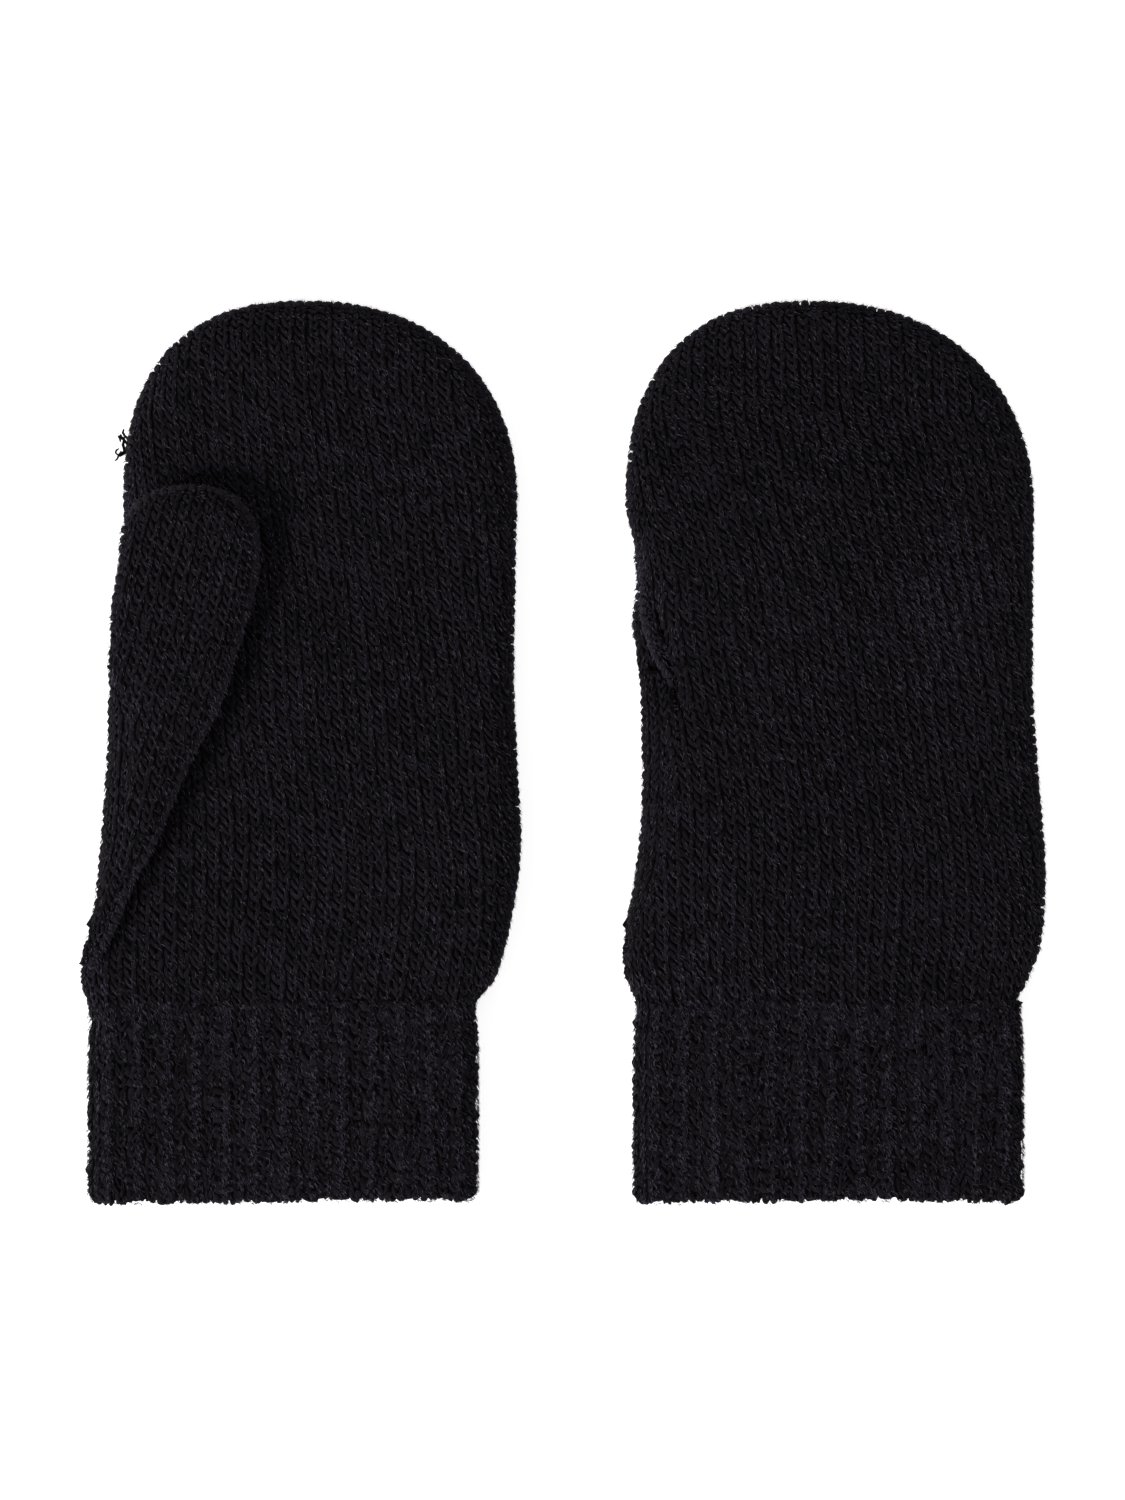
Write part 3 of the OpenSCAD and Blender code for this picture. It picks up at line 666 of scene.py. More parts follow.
class Tree:
    """A node tree built in code: add() makes a node, and named inputs are values or sockets."""

    def __init__(self, name, inputs):
        self.tree = bpy.data.node_groups.new(name, "GeometryNodeTree")
        face = self.tree.interface
        face.new_socket("Geometry", in_out="INPUT", socket_type="NodeSocketGeometry")
        face.new_socket("Geometry", in_out="OUTPUT", socket_type="NodeSocketGeometry")
        for label, kind in inputs:
            face.new_socket(label, in_out="INPUT", socket_type="NodeSocket" + kind)
        self.group = self.tree.nodes.new("NodeGroupInput")
        self.out = self.tree.nodes.new("NodeGroupOutput")

    def given(self, name):
        return self.group.outputs[name]

    def add(self, kind, inputs=(), output=0, **settings):
        node = self.tree.nodes.new(kind)
        for key, value in settings.items():
            setattr(node, key, value)
        for key, value in dict(inputs).items():
            socket = node.inputs[key] if isinstance(key, int) else next(
                s for s in node.inputs if s.identifier == key)
            if isinstance(value, bpy.types.NodeSocket):
                self.tree.links.new(value, socket)
            else:
                socket.default_value = value
        return node.outputs[output] if output is not None else node

    def math(self, operation, a, b=0.0):
        return self.add("ShaderNodeMath", {0: a, 1: b}, operation=operation)

    def vector(self, operation, a, b=(0, 0, 0)):
        return self.add("ShaderNodeVectorMath", {0: a, 1: b}, operation=operation)

    def scaled(self, a, factor):
        return self.add("ShaderNodeVectorMath", {0: a, 3: factor}, operation="SCALE")

    def part(self, vector, axis):
        """One component of a vector."""
        return self.add("ShaderNodeSeparateXYZ", {0: vector}, output=axis)

    def attribute(self, name, kind="FLOAT_VECTOR"):
        return self.add("GeometryNodeInputNamedAttribute", {"Name": name}, data_type=kind)

    def position(self):
        return self.add("GeometryNodeInputPosition")

    def shape(self, name):
        """The geometry of the object in a named input."""
        return self.add("GeometryNodeObjectInfo", {"Object": self.given(name)}, output=4)

    def seed(self, more):
        return self.math("ADD", self.given("Seed"), more)

    def turned(self, angle):
        """A turn about z."""
        angles = self.add("ShaderNodeCombineXYZ", {2: angle})
        return self.add("FunctionNodeEulerToRotation", {0: angles})

    def random(self, low, high, seed, kind="FLOAT"):
        keys = ("Min", "Max") if kind == "FLOAT_VECTOR" else ("Min_001", "Max_001")
        return self.add("FunctionNodeRandomValue", {keys[0]: low, keys[1]: high, "Seed": seed},
                        output=0 if kind == "FLOAT_VECTOR" else 1, data_type=kind)

    def finish(self, geometry):
        """Realizes the geometry and gives it its material. It is pressed flat where it would
        go through the table."""
        geometry = self.add("GeometryNodeRealizeInstances", {0: geometry})
        pressed = self.vector("MAXIMUM", self.position(), (-10, -10, 0))
        geometry = self.add("GeometryNodeSetPosition", {"Geometry": geometry, "Position": pressed})
        geometry = self.add("GeometryNodeSetMaterial", {
            "Geometry": geometry, "Material": self.given("Material")})
        self.tree.links.new(geometry, self.out.inputs[0])
        return self.tree


def knit_tree():
    """Lays stitches in columns and rows, then bends them onto the panel that the tree is given."""
    t = Tree("Knit", (("Stitch", "Object"), ("Columns", "Int"), ("Rows", "Int"),
                      ("First column", "Float"), ("First row", "Float"), ("Column step", "Float"),
                      ("Unevenness", "Float"), ("Seed", "Int"), ("Material", "Material")))
    columns, rows, uneven = t.given("Columns"), t.given("Rows"), t.given("Unevenness")
    wide = t.math("MULTIPLY", t.math("SUBTRACT", columns, 1.0), t.given("Column step"))
    tall = t.math("SUBTRACT", rows, 1.0)
    grid = t.add("GeometryNodeMeshGrid", {
        "Size X": wide, "Size Y": tall, "Vertices X": columns, "Vertices Y": rows})
    corner = t.add("ShaderNodeCombineXYZ", {
        0: t.math("ADD", t.math("MULTIPLY", wide, 0.5), t.given("First column")),
        1: t.math("ADD", t.math("MULTIPLY", tall, 0.5), t.given("First row"))})
    jitter = t.random((-0.06, -0.12, 0), (0.06, 0.12, 0), t.given("Seed"), "FLOAT_VECTOR")
    offset = t.vector("ADD", corner, t.scaled(jitter, uneven))
    grid = t.add("GeometryNodeSetPosition", {"Geometry": grid, "Offset": offset})
    place, normal, uv = t.position(), t.add("GeometryNodeInputNormal"), t.attribute("stitches")

    def sampled(value, output=0):
        return t.add("GeometryNodeSampleUVSurface", {
            "Mesh": t.given("Geometry"), "Value": value, "Source UV Map": uv,
            "Sample UV": t.scaled(t.vector("MULTIPLY", place, (1, 1, 0)), 0.01)},
            output=output, data_type="FLOAT_VECTOR")

    missing = t.add("FunctionNodeBooleanMath", {0: sampled(place, 1)}, operation="NOT")
    grid = t.add("GeometryNodeDeleteGeometry", {"Geometry": grid, "Selection": missing},
                 domain="POINT")
    # A stitch point that falls beside the panel goes to its stitch's foot, just under the panel
    foot = t.vector("SUBTRACT", sampled(place), t.scaled(sampled(normal), 0.3 * MM))
    grid = t.add("GeometryNodeStoreNamedAttribute", {
        "Geometry": grid, "Name": "foot", "Value": foot}, data_type="FLOAT_VECTOR", domain="POINT")
    size = t.random((-0.5, -0.25, -1.2), (0.5, 0.25, 1.2), t.seed(5.0), "FLOAT_VECTOR")
    size = t.vector("ADD", (1, 1, 1), t.scaled(size, t.math("MULTIPLY", uneven, 0.3)))
    turn = t.turned(t.math("MULTIPLY", t.random(-0.15, 0.15, t.seed(9.0)), uneven))
    made = t.add("GeometryNodeInstanceOnPoints", {
        "Points": grid, "Instance": t.shape("Stitch"), "Scale": size, "Rotation": turn})
    made = t.add("GeometryNodeStoreNamedAttribute", {
        "Geometry": made, "Name": "tone", "Value": t.random(0.0, 1.0, t.seed(3.0))},
        data_type="FLOAT", domain="INSTANCE")
    made = t.add("GeometryNodeRealizeInstances", {0: made})
    bent = t.vector("ADD", sampled(place), t.scaled(sampled(normal), t.part(place, 2)))
    bent = t.add("GeometryNodeSwitch", {
        "Switch": sampled(place, 1), "False": t.attribute("foot"), "True": bent},
        input_type="VECTOR")
    made = t.add("GeometryNodeSetPosition", {"Geometry": made, "Position": bent})
    made = t.add("GeometryNodeRemoveAttribute", {"Geometry": made, "Name": "foot"})
    return t.finish(made)


def fuzz_tree():
    """Scatters loose fibres over the panel that the tree is given, but none against the table.
    Pattern says how much they keep to the crests of the slanting legs of the stitches."""
    t = Tree("Fuzz", (("Fibre", "Object"), ("Density", "Float"), ("Pattern", "Float"),
                      ("Lift", "Float"), ("Seed", "Int"), ("Material", "Material")))
    wear_and_sheen = t.math("ADD", t.attribute("pilling", "FLOAT"), 1.0)
    spread = t.add("GeometryNodeDistributePointsOnFaces", {
        "Mesh": t.given("Geometry"), "Seed": t.given("Seed"),
        "Density": t.math("MULTIPLY", t.given("Density"), wear_and_sheen)}, output=None)
    normal = spread.outputs["Normal"]
    tilt = t.add("FunctionNodeEulerToRotation", {
        0: t.random((1.15, 0, 0.1), (1.5, 0, 1.0), t.given("Seed"), "FLOAT_VECTOR")})
    upright = t.add("FunctionNodeAlignRotationToVector", {"Vector": normal}, axis="Z")
    turn = t.add("FunctionNodeRotateRotation", {"Rotation": upright, "Rotate By": tilt},
                 rotation_space="LOCAL")
    low = t.math("LESS_THAN", t.part(t.position(), 2), 1.5 * MM)
    down = t.math("LESS_THAN", t.part(normal, 2), -0.2)
    # A fibre's place in its stitch: across the wale, and along the slanting leg
    stitch = t.scaled(t.attribute("stitches"), 100.0)
    across = t.math("SUBTRACT", t.math("FRACT", t.part(stitch, 0)), 0.5)
    slant = t.math("ADD", t.math("MULTIPLY", across, 2.2), 1.16)
    phase = t.math("ADD", t.part(stitch, 1), slant)
    crest = t.math("COSINE", t.math("MULTIPLY", phase, 2 * math.pi))
    beside = t.math("MULTIPLY", t.math("GREATER_THAN", t.math("ABSOLUTE", across), 0.37), 1.6)
    crest = t.math("SUBTRACT", t.math("SUBTRACT", crest, beside), 0.15)
    kept = t.math("ADD", t.math("MULTIPLY", crest, t.given("Pattern")),
                  t.random(0.0, 0.5, t.seed(4.0)))
    unwanted = t.math("ADD", t.math("MULTIPLY", low, down), t.math("LESS_THAN", kept, 0.0))
    points = t.add("GeometryNodeDeleteGeometry", {
        "Geometry": spread.outputs["Points"], "Selection": unwanted}, domain="POINT")
    points = t.add("GeometryNodeSetPosition", {
        "Geometry": points, "Offset": t.scaled(normal, t.given("Lift"))})
    made = t.add("GeometryNodeInstanceOnPoints", {
        "Points": points, "Rotation": turn, "Scale": t.random(0.4, 1.0, t.seed(2.0)),
        "Instance": t.shape("Fibre")})
    return t.finish(made)


def bead_tree():
    """Puts a loop of yarn at each point of a line, turned the way the point says."""
    t = Tree("Beads", (("Bead", "Object"), ("Seed", "Int"), ("Material", "Material")))
    seed = t.given("Seed")
    turn = t.turned(t.math("ADD", t.attribute("way", "FLOAT"), t.random(-0.1, 0.1, seed)))
    size = t.random((-0.2, -0.25, -0.15), (0.2, 0.25, 0.15), seed, "FLOAT_VECTOR")
    made = t.add("GeometryNodeInstanceOnPoints", {
        "Points": t.given("Geometry"), "Rotation": turn, "Instance": t.shape("Bead"),
        "Scale": t.vector("ADD", (1, 1, 1), size)})
    return t.finish(made)


def grown(name, base, tree, inputs):
    """The plain mesh that a node tree makes of base."""
    modifier = base.modifiers.new("Nodes", "NODES")
    modifier.node_group = tree
    for item in tree.interface.items_tree:
        if item.in_out == "INPUT" and item.name in inputs:
            modifier[item.identifier] = inputs[item.name]
    bpy.context.view_layer.update()
    graph = bpy.context.evaluated_depsgraph_get()
    mesh = bpy.data.meshes.new_from_object(
        base.evaluated_get(graph), preserve_all_data_layers=True, depsgraph=graph)
    base.modifiers.remove(modifier)
    mesh.name = name
    mesh.shade_smooth()
    if len(mesh.polygons) == 0:
        raise RuntimeError(f"{name}: the node tree made no faces")
    obj = bpy.data.objects.new(name, mesh)
    bpy.context.scene.collection.objects.link(obj)
    return obj


def discard(*objs):
    for o in objs:
        mesh = o.data
        bpy.data.objects.remove(o)
        bpy.data.meshes.remove(mesh)


# ---------------------------------------------------------------- materials

def linear(text):
    """sRGB hex as linear red, green, blue, alpha."""
    parts = [int(text[i:i + 2], 16) / 255 for i in (1, 3, 5)]
    return tuple(
        c / 12.92 if c <= 0.04045 else ((c + 0.055) / 1.055) ** 2.4 for c in parts) + (1.0,)


def add_node(tree, kind, inputs=(), **settings):
    node = tree.nodes.new(kind)
    for key, value in settings.items():
        setattr(node, key, value)
    for key, value in dict(inputs).items():
        if isinstance(value, bpy.types.NodeSocket):
            tree.links.new(value, node.inputs[key])
        else:
            node.inputs[key].default_value = value
    return node


def seen_directly(tree):
    """1 for rays that show white as such: the camera's, and those by way of gloss or glass."""
    ray = add_node(tree, "ShaderNodeLightPath")
    total = ray.outputs["Is Camera Ray"]
    for kind in ("Is Glossy Ray", "Is Transmission Ray"):
        total = add_node(tree, "ShaderNodeMath", {0: total, 1: ray.outputs[kind]},
                         operation="MAXIMUM").outputs[0]
    return total


def yarn(name):
    """Spun wool and acrylic yarn, dyed black: a matt fibre with a soft halo. The same material, in a darker
    colour, is the painted shade between the stitches and inside the overlocking, and in a lighter colour
    the painted sheen of the loose fibres. The colour of the yarn wanders a little from stitch to stitch,
    and fine twisted fibres roughen its surface."""
    found = bpy.data.materials.get(name)
    if found:
        return found
    colour_key, variation, sheen, fibre_scale = YARNS[name]
    colour = linear(getattr(bpy.context.scene.mitten_colours, colour_key))[:3]
    material = bpy.data.materials.new(name)
    material.use_nodes = True
    tree = material.node_tree
    tree.nodes.clear()
    place = add_node(tree, "ShaderNodeTexCoord").outputs["Object"]
    tone = add_node(tree, "ShaderNodeAttribute", attribute_name="tone").outputs["Fac"]
    fibres = add_node(tree, "ShaderNodeTexNoise", {
        "Vector": place, "Scale": fibre_scale, "Detail": 2.0, "Roughness": 0.6}).outputs["Fac"]
    patches = add_node(tree, "ShaderNodeTexNoise", {
        "Vector": place, "Scale": 45.0, "Detail": 2.0}).outputs["Fac"]
    total = tone
    for noise, weight in ((fibres, 3.0), (patches, 0.5)):
        total = add_node(tree, "ShaderNodeMath", {0: noise, 1: weight, 2: total},
                         operation="MULTIPLY_ADD").outputs[0]
    gain = add_node(tree, "ShaderNodeMapRange", {
        "Value": total, "From Min": 1.4, "From Max": 3.1,
        "To Min": 1 - variation, "To Max": 1 + variation}, clamp=True).outputs[0]
    base = add_node(tree, "ShaderNodeVectorMath", {0: colour, "Scale": gain}, operation="SCALE")
    bump = add_node(tree, "ShaderNodeBump", {
        "Height": fibres, "Strength": 0.6, "Distance": 0.15 * MM}).outputs[0]
    shader = add_node(tree, "ShaderNodeBsdfPrincipled", {
        "Base Color": base.outputs[0], "Roughness": 0.92, "Normal": bump,
        "Specular IOR Level": 0.08, "Sheen Weight": sheen, "Sheen Roughness": 0.55,
        "Sheen Tint": linear("#8C8890")})
    output = add_node(tree, "ShaderNodeOutputMaterial")
    tree.links.new(shader.outputs[0], output.inputs[0])
    return material


# ---------------------------------------------------------------- building pieces

class Workshop:
    """The node trees and small shapes that every piece is made with."""

    def __enter__(self):
        self.knit, self.fuzz, self.beads = knit_tree(), fuzz_tree(), bead_tree()
        self.v, self.fibre, self.bead = knit_stitch(), fibre(), bead()
        self.made = 0
        return self

    def __exit__(self, *error):
        discard(self.v, self.fibre, self.bead)
        for tree in (self.knit, self.fuzz, self.beads):
            bpy.data.node_groups.remove(tree)

    def seed(self):
        self.made += 1
        return bpy.context.scene.knit_sizes.seed + 17 * self.made

    def stitches(self, name, sheet, counts, first, step=1.0, unevenness=1.0):
        """Columns and rows of stitches, from a first column and row of the sheet."""
        return grown(name, sheet, self.knit, {
            "Stitch": self.v, "Columns": counts[0], "Rows": counts[1],
            "First column": first[0], "First row": first[1], "Column step": step,
            "Unevenness": unevenness, "Seed": self.seed(), "Material": yarn("black_yarn")})

    def fluff(self, name, sheet, share, pattern):
        density = bpy.context.scene.knit_sizes.fuzz * share
        return grown(name, sheet, self.fuzz, {
            "Fibre": self.fibre, "Density": density, "Pattern": pattern, "Lift": FLUFF_LIFT,
            "Seed": self.seed(), "Material": yarn("loose_fibre_painted_sheen")})

    def overlock(self, name, points, ways):
        line = new_object(name + "_line", points, [])
        line.data.attributes.new("way", "FLOAT", "POINT").data.foreach_set("value", ways.astype(np.float32))
        made = grown(name, line, self.beads, {
            "Bead": self.bead, "Seed": self.seed(), "Material": yarn("sewing_yarn")})
        discard(line)
        return made


def dress(cloth, parts, node, body, other=None):
    """Gives a cloth its material and hangs it and what lies on it from its body, or bakes their places
    where another body is given, and hides the CAD part.
    """
    # The cloth under the stitches carries the painted gap shade: its darker colour stands in for the shade
    # between the stitches
    cloth.data.materials.append(yarn("painted_gap_shade"))
    for o in (cloth, *parts):
        if other:
            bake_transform(o)
        else:
            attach(o, body)
    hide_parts(node)


def pouch_cloth(mitten, k, face, name):
    """The cloth of one side of a pouch, without its stitches."""
    rows, tip_rows, columns = (60, 18, 81) if k == HAND else (40, 10, 29)
    start, depth = mitten.arc(k)
    deep = depth + mitten.spare(k, 1)
    heights = np.concatenate([
        mitten.height(np.linspace(mitten.first_share(k), mitten.last_share(k), rows)),
        start + deep * np.sin(np.linspace(0, math.radians(87), tip_rows)[1:])])
    across = np.sin(np.linspace(-1, 1, columns) * math.pi / 2)
    y = np.repeat(heights[:, None], len(across), axis=1)
    u = np.repeat(across[None, :], len(heights), axis=0)
    mid, left, right = mitten.flat_edges(k, y)
    power = mitten.powers(k, u < 0)
    over = np.clip((y - start) / deep, 0, 1)
    narrow = (1 - over ** power) ** (1 / power)
    x = mid + np.abs(u) * (np.where(u < 0, left, right) - mid) * narrow
    sink = bpy.context.scene.knit_sizes.sink
    outer = mitten.point(k, face, x, y, sink + UNDER)
    inner = mitten.point(k, face, x, y, sink + HAND_CLOTH)
    return slab(name, outer, inner, face == DOWN)


def pouch_panel(mitten, k, face, name):
    """The sheet that the stitches of one side of a pouch are laid on."""
    knit = bpy.context.scene.knit_sizes
    rows, columns, below = (130, 150, 3 * MM) if k == HAND else (70, 44, 0.5 * MM)
    beyond = 2 * MM
    start, depth = mitten.arc(k)
    top = start + depth + mitten.spare(k, 1) + beyond
    y = np.linspace(mitten.height(mitten.first_share(k)) - below, top, rows)
    mid, left, right = mitten.flat_edges(k, y)
    x = np.linspace((left - beyond).min(), (right + beyond).max(), columns)
    x, y = np.meshgrid(x, y)
    mid, left, right = mitten.flat_edges(k, y)
    v = np.minimum(mitten.share(y), 1.2)
    if k == HAND:
        total, power = LEAN[mitten.side]
        at = np.minimum(v, 1)
        low_x, high_x = mitten.thumb_side(at), mitten.hand_side(at)
        low_x, high_x = mix(low_x, low_x.mean(), 0.5), mix(high_x, high_x.mean(), 0.5)
        wale = ((x - low_x) / (high_x - low_x) * knit.wales
                + face * total * np.maximum(v, 0) ** power / 1.2 ** power)
    else:
        wale = (x - mid.mean() - face * math.tan(THUMB_SLANT) * (y - start)) / knit.thumb_wale
    wale = wale + 0.12 * np.sin(y * 150 + x * 60 + k) + 0.05 * np.sin(x * 400 + y * 90)
    course = ((y - mitten.size.cuff_length) / knit.course
              + 0.35 * np.sin(x * 85 + face) + 0.15 * np.sin(x * 260 + y * 70))
    over = np.maximum(0, y - start) / (depth + mitten.spare(k, 1))
    power = mitten.powers(k, x < mid)
    beside = np.abs((x - mid) / np.where(x < mid, mid - left, right - mid))
    near = (beside ** power + over ** power) ** (1 / power)
    half = np.maximum(right - left, 1e-3) / 2
    keep = near < 1 + 1.6 * MM / half
    points = mitten.point(k, face, x, y, knit.sink)
    wear_and_sheen = np.zeros(x.shape)
    if k == HAND and face == UP:
        px, py = points[..., 0], points[..., 1]
        for cx, cy, r, more in PILLED[mitten.side]:
            wear_and_sheen += more * np.exp(-((px - cx) ** 2 + (py - cy) ** 2) / r ** 2)
        # No loose fibres in the crease, so their painted sheen doesn't lighten it
        wear_and_sheen -= (wear_and_sheen + 1) * mitten.creased(face, px, py)
    return panel(name, points, np.stack([wale, course], axis=-1), face == DOWN, keep, wear_and_sheen)


def knitted_side(shop, mitten, k, face, node, body):
    """One side of the hand or of the thumb: its cloth, its stitches and its loose fibres."""
    knit = bpy.context.scene.knit_sizes
    cloth = pouch_cloth(mitten, k, face, node + "_cloth")
    sheet = pouch_panel(mitten, k, face, node + "_panel")
    counts, first = (34, 64), (-17.5, 0.2)
    if k == HAND:
        tall = mitten.size.mitten_length - mitten.size.cuff_length + 6 * MM
        counts, first = (knit.wales + 16, int(tall / knit.course)), (-7.5, -0.8)
    made = shop.stitches(node + "_stitches", sheet, counts, first)
    fuzz = shop.fluff(node + "_fibres", sheet, *(UPPER_FLUFF if face == UP else LOWER_FLUFF))
    discard(sheet)
    dress(cloth, (made, fuzz), node, body)
    start, depth = mitten.arc(k)
    widest = 0.8
    wide = float(np.ptp([mitten.rim_left(k, widest), mitten.rim_right(k, widest)]))
    flat = (wide + 2 * mitten.spare(k, 1), start + depth - mitten.height(mitten.first_share(k)))


def gusset(shop, mitten, outer, node, bodies):
    """A strip of the thumb's gusset, from the hand round to the thumb."""
    knit = bpy.context.scene.knit_sizes
    low, high, rows, count, over = (0.135, 0.675, 44, 25, 0.12) if outer else (0.3, 0.62, 24, 13, 0.1)
    v = np.linspace(low, high, rows)
    surface = mitten.arch(v, outer, count, over)
    along = np.gradient(surface, axis=1)
    normal = np.cross(along, np.array([0, 1, 0]))
    normal /= np.maximum(np.linalg.norm(normal, axis=-1, keepdims=True), 1e-12)
    inward = np.where(normal[:, count // 2, 0].mean() > 0, 1, -1) * (1 if outer else -1)
    normal = normal * inward
    flip = (mitten.side == RIGHT) == outer
    cloth = slab(node + "_cloth", surface + normal * (knit.sink + UNDER),
                 surface + normal * (knit.sink + GUSSET_CLOTH), flip)
    run = np.linalg.norm(np.diff(surface, axis=1), axis=-1).mean(axis=0)
    run = np.concatenate([[0], np.cumsum(run)])
    wale = np.repeat((run[None, :] - run[count // 2]) / knit.thumb_wale, len(v), axis=0)
    up = (mitten.height(v) - mitten.size.cuff_length)[:, None] / knit.course
    stitches = np.stack([wale, np.repeat(up, count, axis=1)], axis=-1)
    sheet = panel(node + "_panel", surface + normal * knit.sink, stitches, flip)
    parts = [shop.stitches(node + "_stitches", sheet, (20, 70), (-10.5, 0.2))]
    if outer:
        parts.append(shop.fluff(node + "_fibres", sheet, *GUSSET_FLUFF))
    discard(sheet)
    # Heights between which the strip passes from the hand to the thumb
    if mitten.side == LEFT:
        low, high = (0.006, 0.0156) if outer else (0.0112, 0.0132)
    else:
        low, high = (0.0142, 0.0048) if outer else (0.0092, 0.0084)
    dress(cloth, parts, node, bodies[0], bodies[1])
    if outer:
        size = (float(run[-1]), float(mitten.height(v[-1]) - mitten.height(v[0])))


def ribbed_cuff(shop, mitten, node, body):
    """The cuff: a tube of rib knit, turned in at the hem."""
    knit = bpy.context.scene.knit_sizes
    n, top = knit.cuff_wales, mitten.size.cuff_length + 1.6 * MM
    rises = np.concatenate([
        np.linspace(-HEM_INSIDE, -2 * MM, 5), np.linspace(-1.7 * MM, 1.7 * MM, 9),
        np.linspace(2 * MM, top, 34)])
    w, r = np.meshgrid(np.linspace(0, n, 4 * n, endpoint=False), rises)
    cloth = slab(node + "_cloth", mitten.cuff(w, r, knit.sink + UNDER),
                 mitten.cuff(w, r, knit.sink + CUFF_CLOTH), True, loop=True)
    w, r = np.meshgrid(np.linspace(-1.2, n + 1.2, 6 * n), rises)
    course = r / knit.cuff_course + 0.45 * np.sin(2.3 * w) + 0.3 * np.sin(0.9 * w + 0.12 * r / MM)
    # More loose fibres on the rib's ridges: partly real fuzz, partly painted highlight, as their lighter
    # painted sheen stands in for the light that the ridges catch
    wear_and_sheen = 1.8 * np.maximum(0, np.cos(math.pi * (w - 0.5))) ** 8
    sheet = panel(node + "_panel", mitten.cuff(w, r, knit.sink),
                  np.stack([w, course], axis=-1), True, wear_and_sheen=wear_and_sheen)
    counts = (n // 2, int(top / knit.cuff_course) + 4)
    parts = [shop.stitches(f"{node}_{name}", sheet, counts, first, step=2.0, unevenness=1.9)
             for name, first in (("ribs", (0.5, -3.0)), ("furrows", (1.5, -2.5)))]
    parts.append(shop.fluff(node + "_fibres", sheet, *CUFF_FLUFF))
    discard(sheet)
    dress(cloth, parts, node, body)


def outwards(points, ways, reach):
    """A line of points moved out by reach in the directions that the edge faces, less at its ends."""
    far = np.minimum(*(np.linalg.norm(points - points[end], axis=1) for end in (0, -1)))
    step = mix(-0.9 * MM, reach, ramp(0, 6 * MM, far))[:, None]
    return points + step * np.stack([np.cos(ways), np.sin(ways), 0 * ways], axis=-1)


def sewn_edge(shop, mitten, k, first, node, body):
    """The overlocked edge round a pouch: a padded core with a loop of yarn at each stitch."""
    reach, size = (0.3 * MM, 1.0) if k == HAND else (0.1 * MM, 0.8)
    fine, ways = mitten.rim_line(k, first, 0.8 * MM)
    sides, core = 8, []
    for p, way in zip(outwards(fine, ways, reach), ways):
        for j in range(sides):
            a = j * 2 * math.pi / sides
            out, up = (-1.1 + 0.75 * math.cos(a)) * size * MM, 1.25 * math.sin(a) * size * MM
            core.append(p + np.array([math.cos(way) * out, math.sin(way) * out, up]))
    core = np.array(core)
    cloth = new_object(node + "_core", core, outward(core, hose_faces(len(fine), sides)))
    fuzz = shop.fluff(node + "_fibres", cloth, *SEAM_FLUFF)
    points, ways = mitten.rim_line(k, first, bpy.context.scene.knit_sizes.bead)
    loops = shop.overlock(node + "_loops", outwards(points, ways, reach), ways)
    # The core carries the painted shade seen between the overlock loops
    cloth.data.materials.append(yarn("painted_gap_shade"))
    for o in (cloth, loops, fuzz):
        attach(o, body)
    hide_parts(node)


def strand(points, radius, sides=6):
    """A round yarn along a line of points."""
    points = np.array(points, float)
    along = np.gradient(points, axis=0)
    along /= np.linalg.norm(along, axis=1, keepdims=True)
    turn = np.linspace(0, 2 * math.pi, sides, endpoint=False)
    made, n = [], len(points)
    for i, (p, t) in enumerate(zip(points, along)):
        a = np.cross(t, (0.3, 0.2, 0.93))
        a /= np.linalg.norm(a)
        b = np.cross(t, a)
        r = radius * (0.5 if i in (0, n - 1) else 1)
        made += [p + r * (a * math.cos(q) + b * math.sin(q)) for q in turn]
    made = np.array(made)
    return made, outward(made, hose_faces(n, sides))


def tuft(node, body, start, direction, long, count):
    """A tangle of short yarn ends."""
    rng = np.random.default_rng(bpy.context.scene.knit_sizes.seed + len(node))
    start, direction = np.array(start, float), np.array(direction, float)
    steps, radius, strands = 9, 0.28 * MM, []
    for _ in range(count):
        heading = direction + rng.normal(0, 0.45, 3) * (1, 1, 0.4)
        points = [start + rng.normal(0, 0.3 * MM, 3) - direction * 1.4 * MM]
        for _ in range(steps):
            heading = heading + rng.normal(0, 0.55, 3) * (1, 1, 0.5)
            heading /= np.linalg.norm(heading)
            points.append(points[-1] + heading * long * rng.uniform(0.7, 1.1) / steps)
        strands.append(strand(points, radius * rng.uniform(0.7, 1.2)))
    obj = new_object(node + "_strands", *joined(strands))
    obj.data.materials.append(yarn("black_yarn"))
    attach(obj, body)
    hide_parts(node)


# ---------------------------------------------------------------- operators

class MITTEN_OT_hands(bpy.types.Operator):
    """Knit the palm side and the back of both hands"""
    bl_idname = "mitten.hands"
    bl_label = "Hands"

    def execute(self, context):
        with Workshop() as shop:
            for side in (LEFT, RIGHT):
                mitten = Mitten(side)
                for face in (UP, DOWN):
                    node = "palm" if (face == UP) == (side == LEFT) else "back"
                    knitted_side(shop, mitten, HAND, face, f"{SIDES[side]}_{node}",
                                 f"{SIDES[side]}_mitten")
        return {"FINISHED"}


class MITTEN_OT_thumbs(bpy.types.Operator):
    """Knit both sides of both thumbs"""
    bl_idname = "mitten.thumbs"
    bl_label = "Thumbs"

    def execute(self, context):
        with Workshop() as shop:
            for side in (LEFT, RIGHT):
                for face in (UP, DOWN):
                    node = f"{SIDES[side]}_thumb_{'upper' if face == UP else 'lower'}"
                    knitted_side(shop, Mitten(side), THUMB, face, node, f"{SIDES[side]}_thumb")
        return {"FINISHED"}


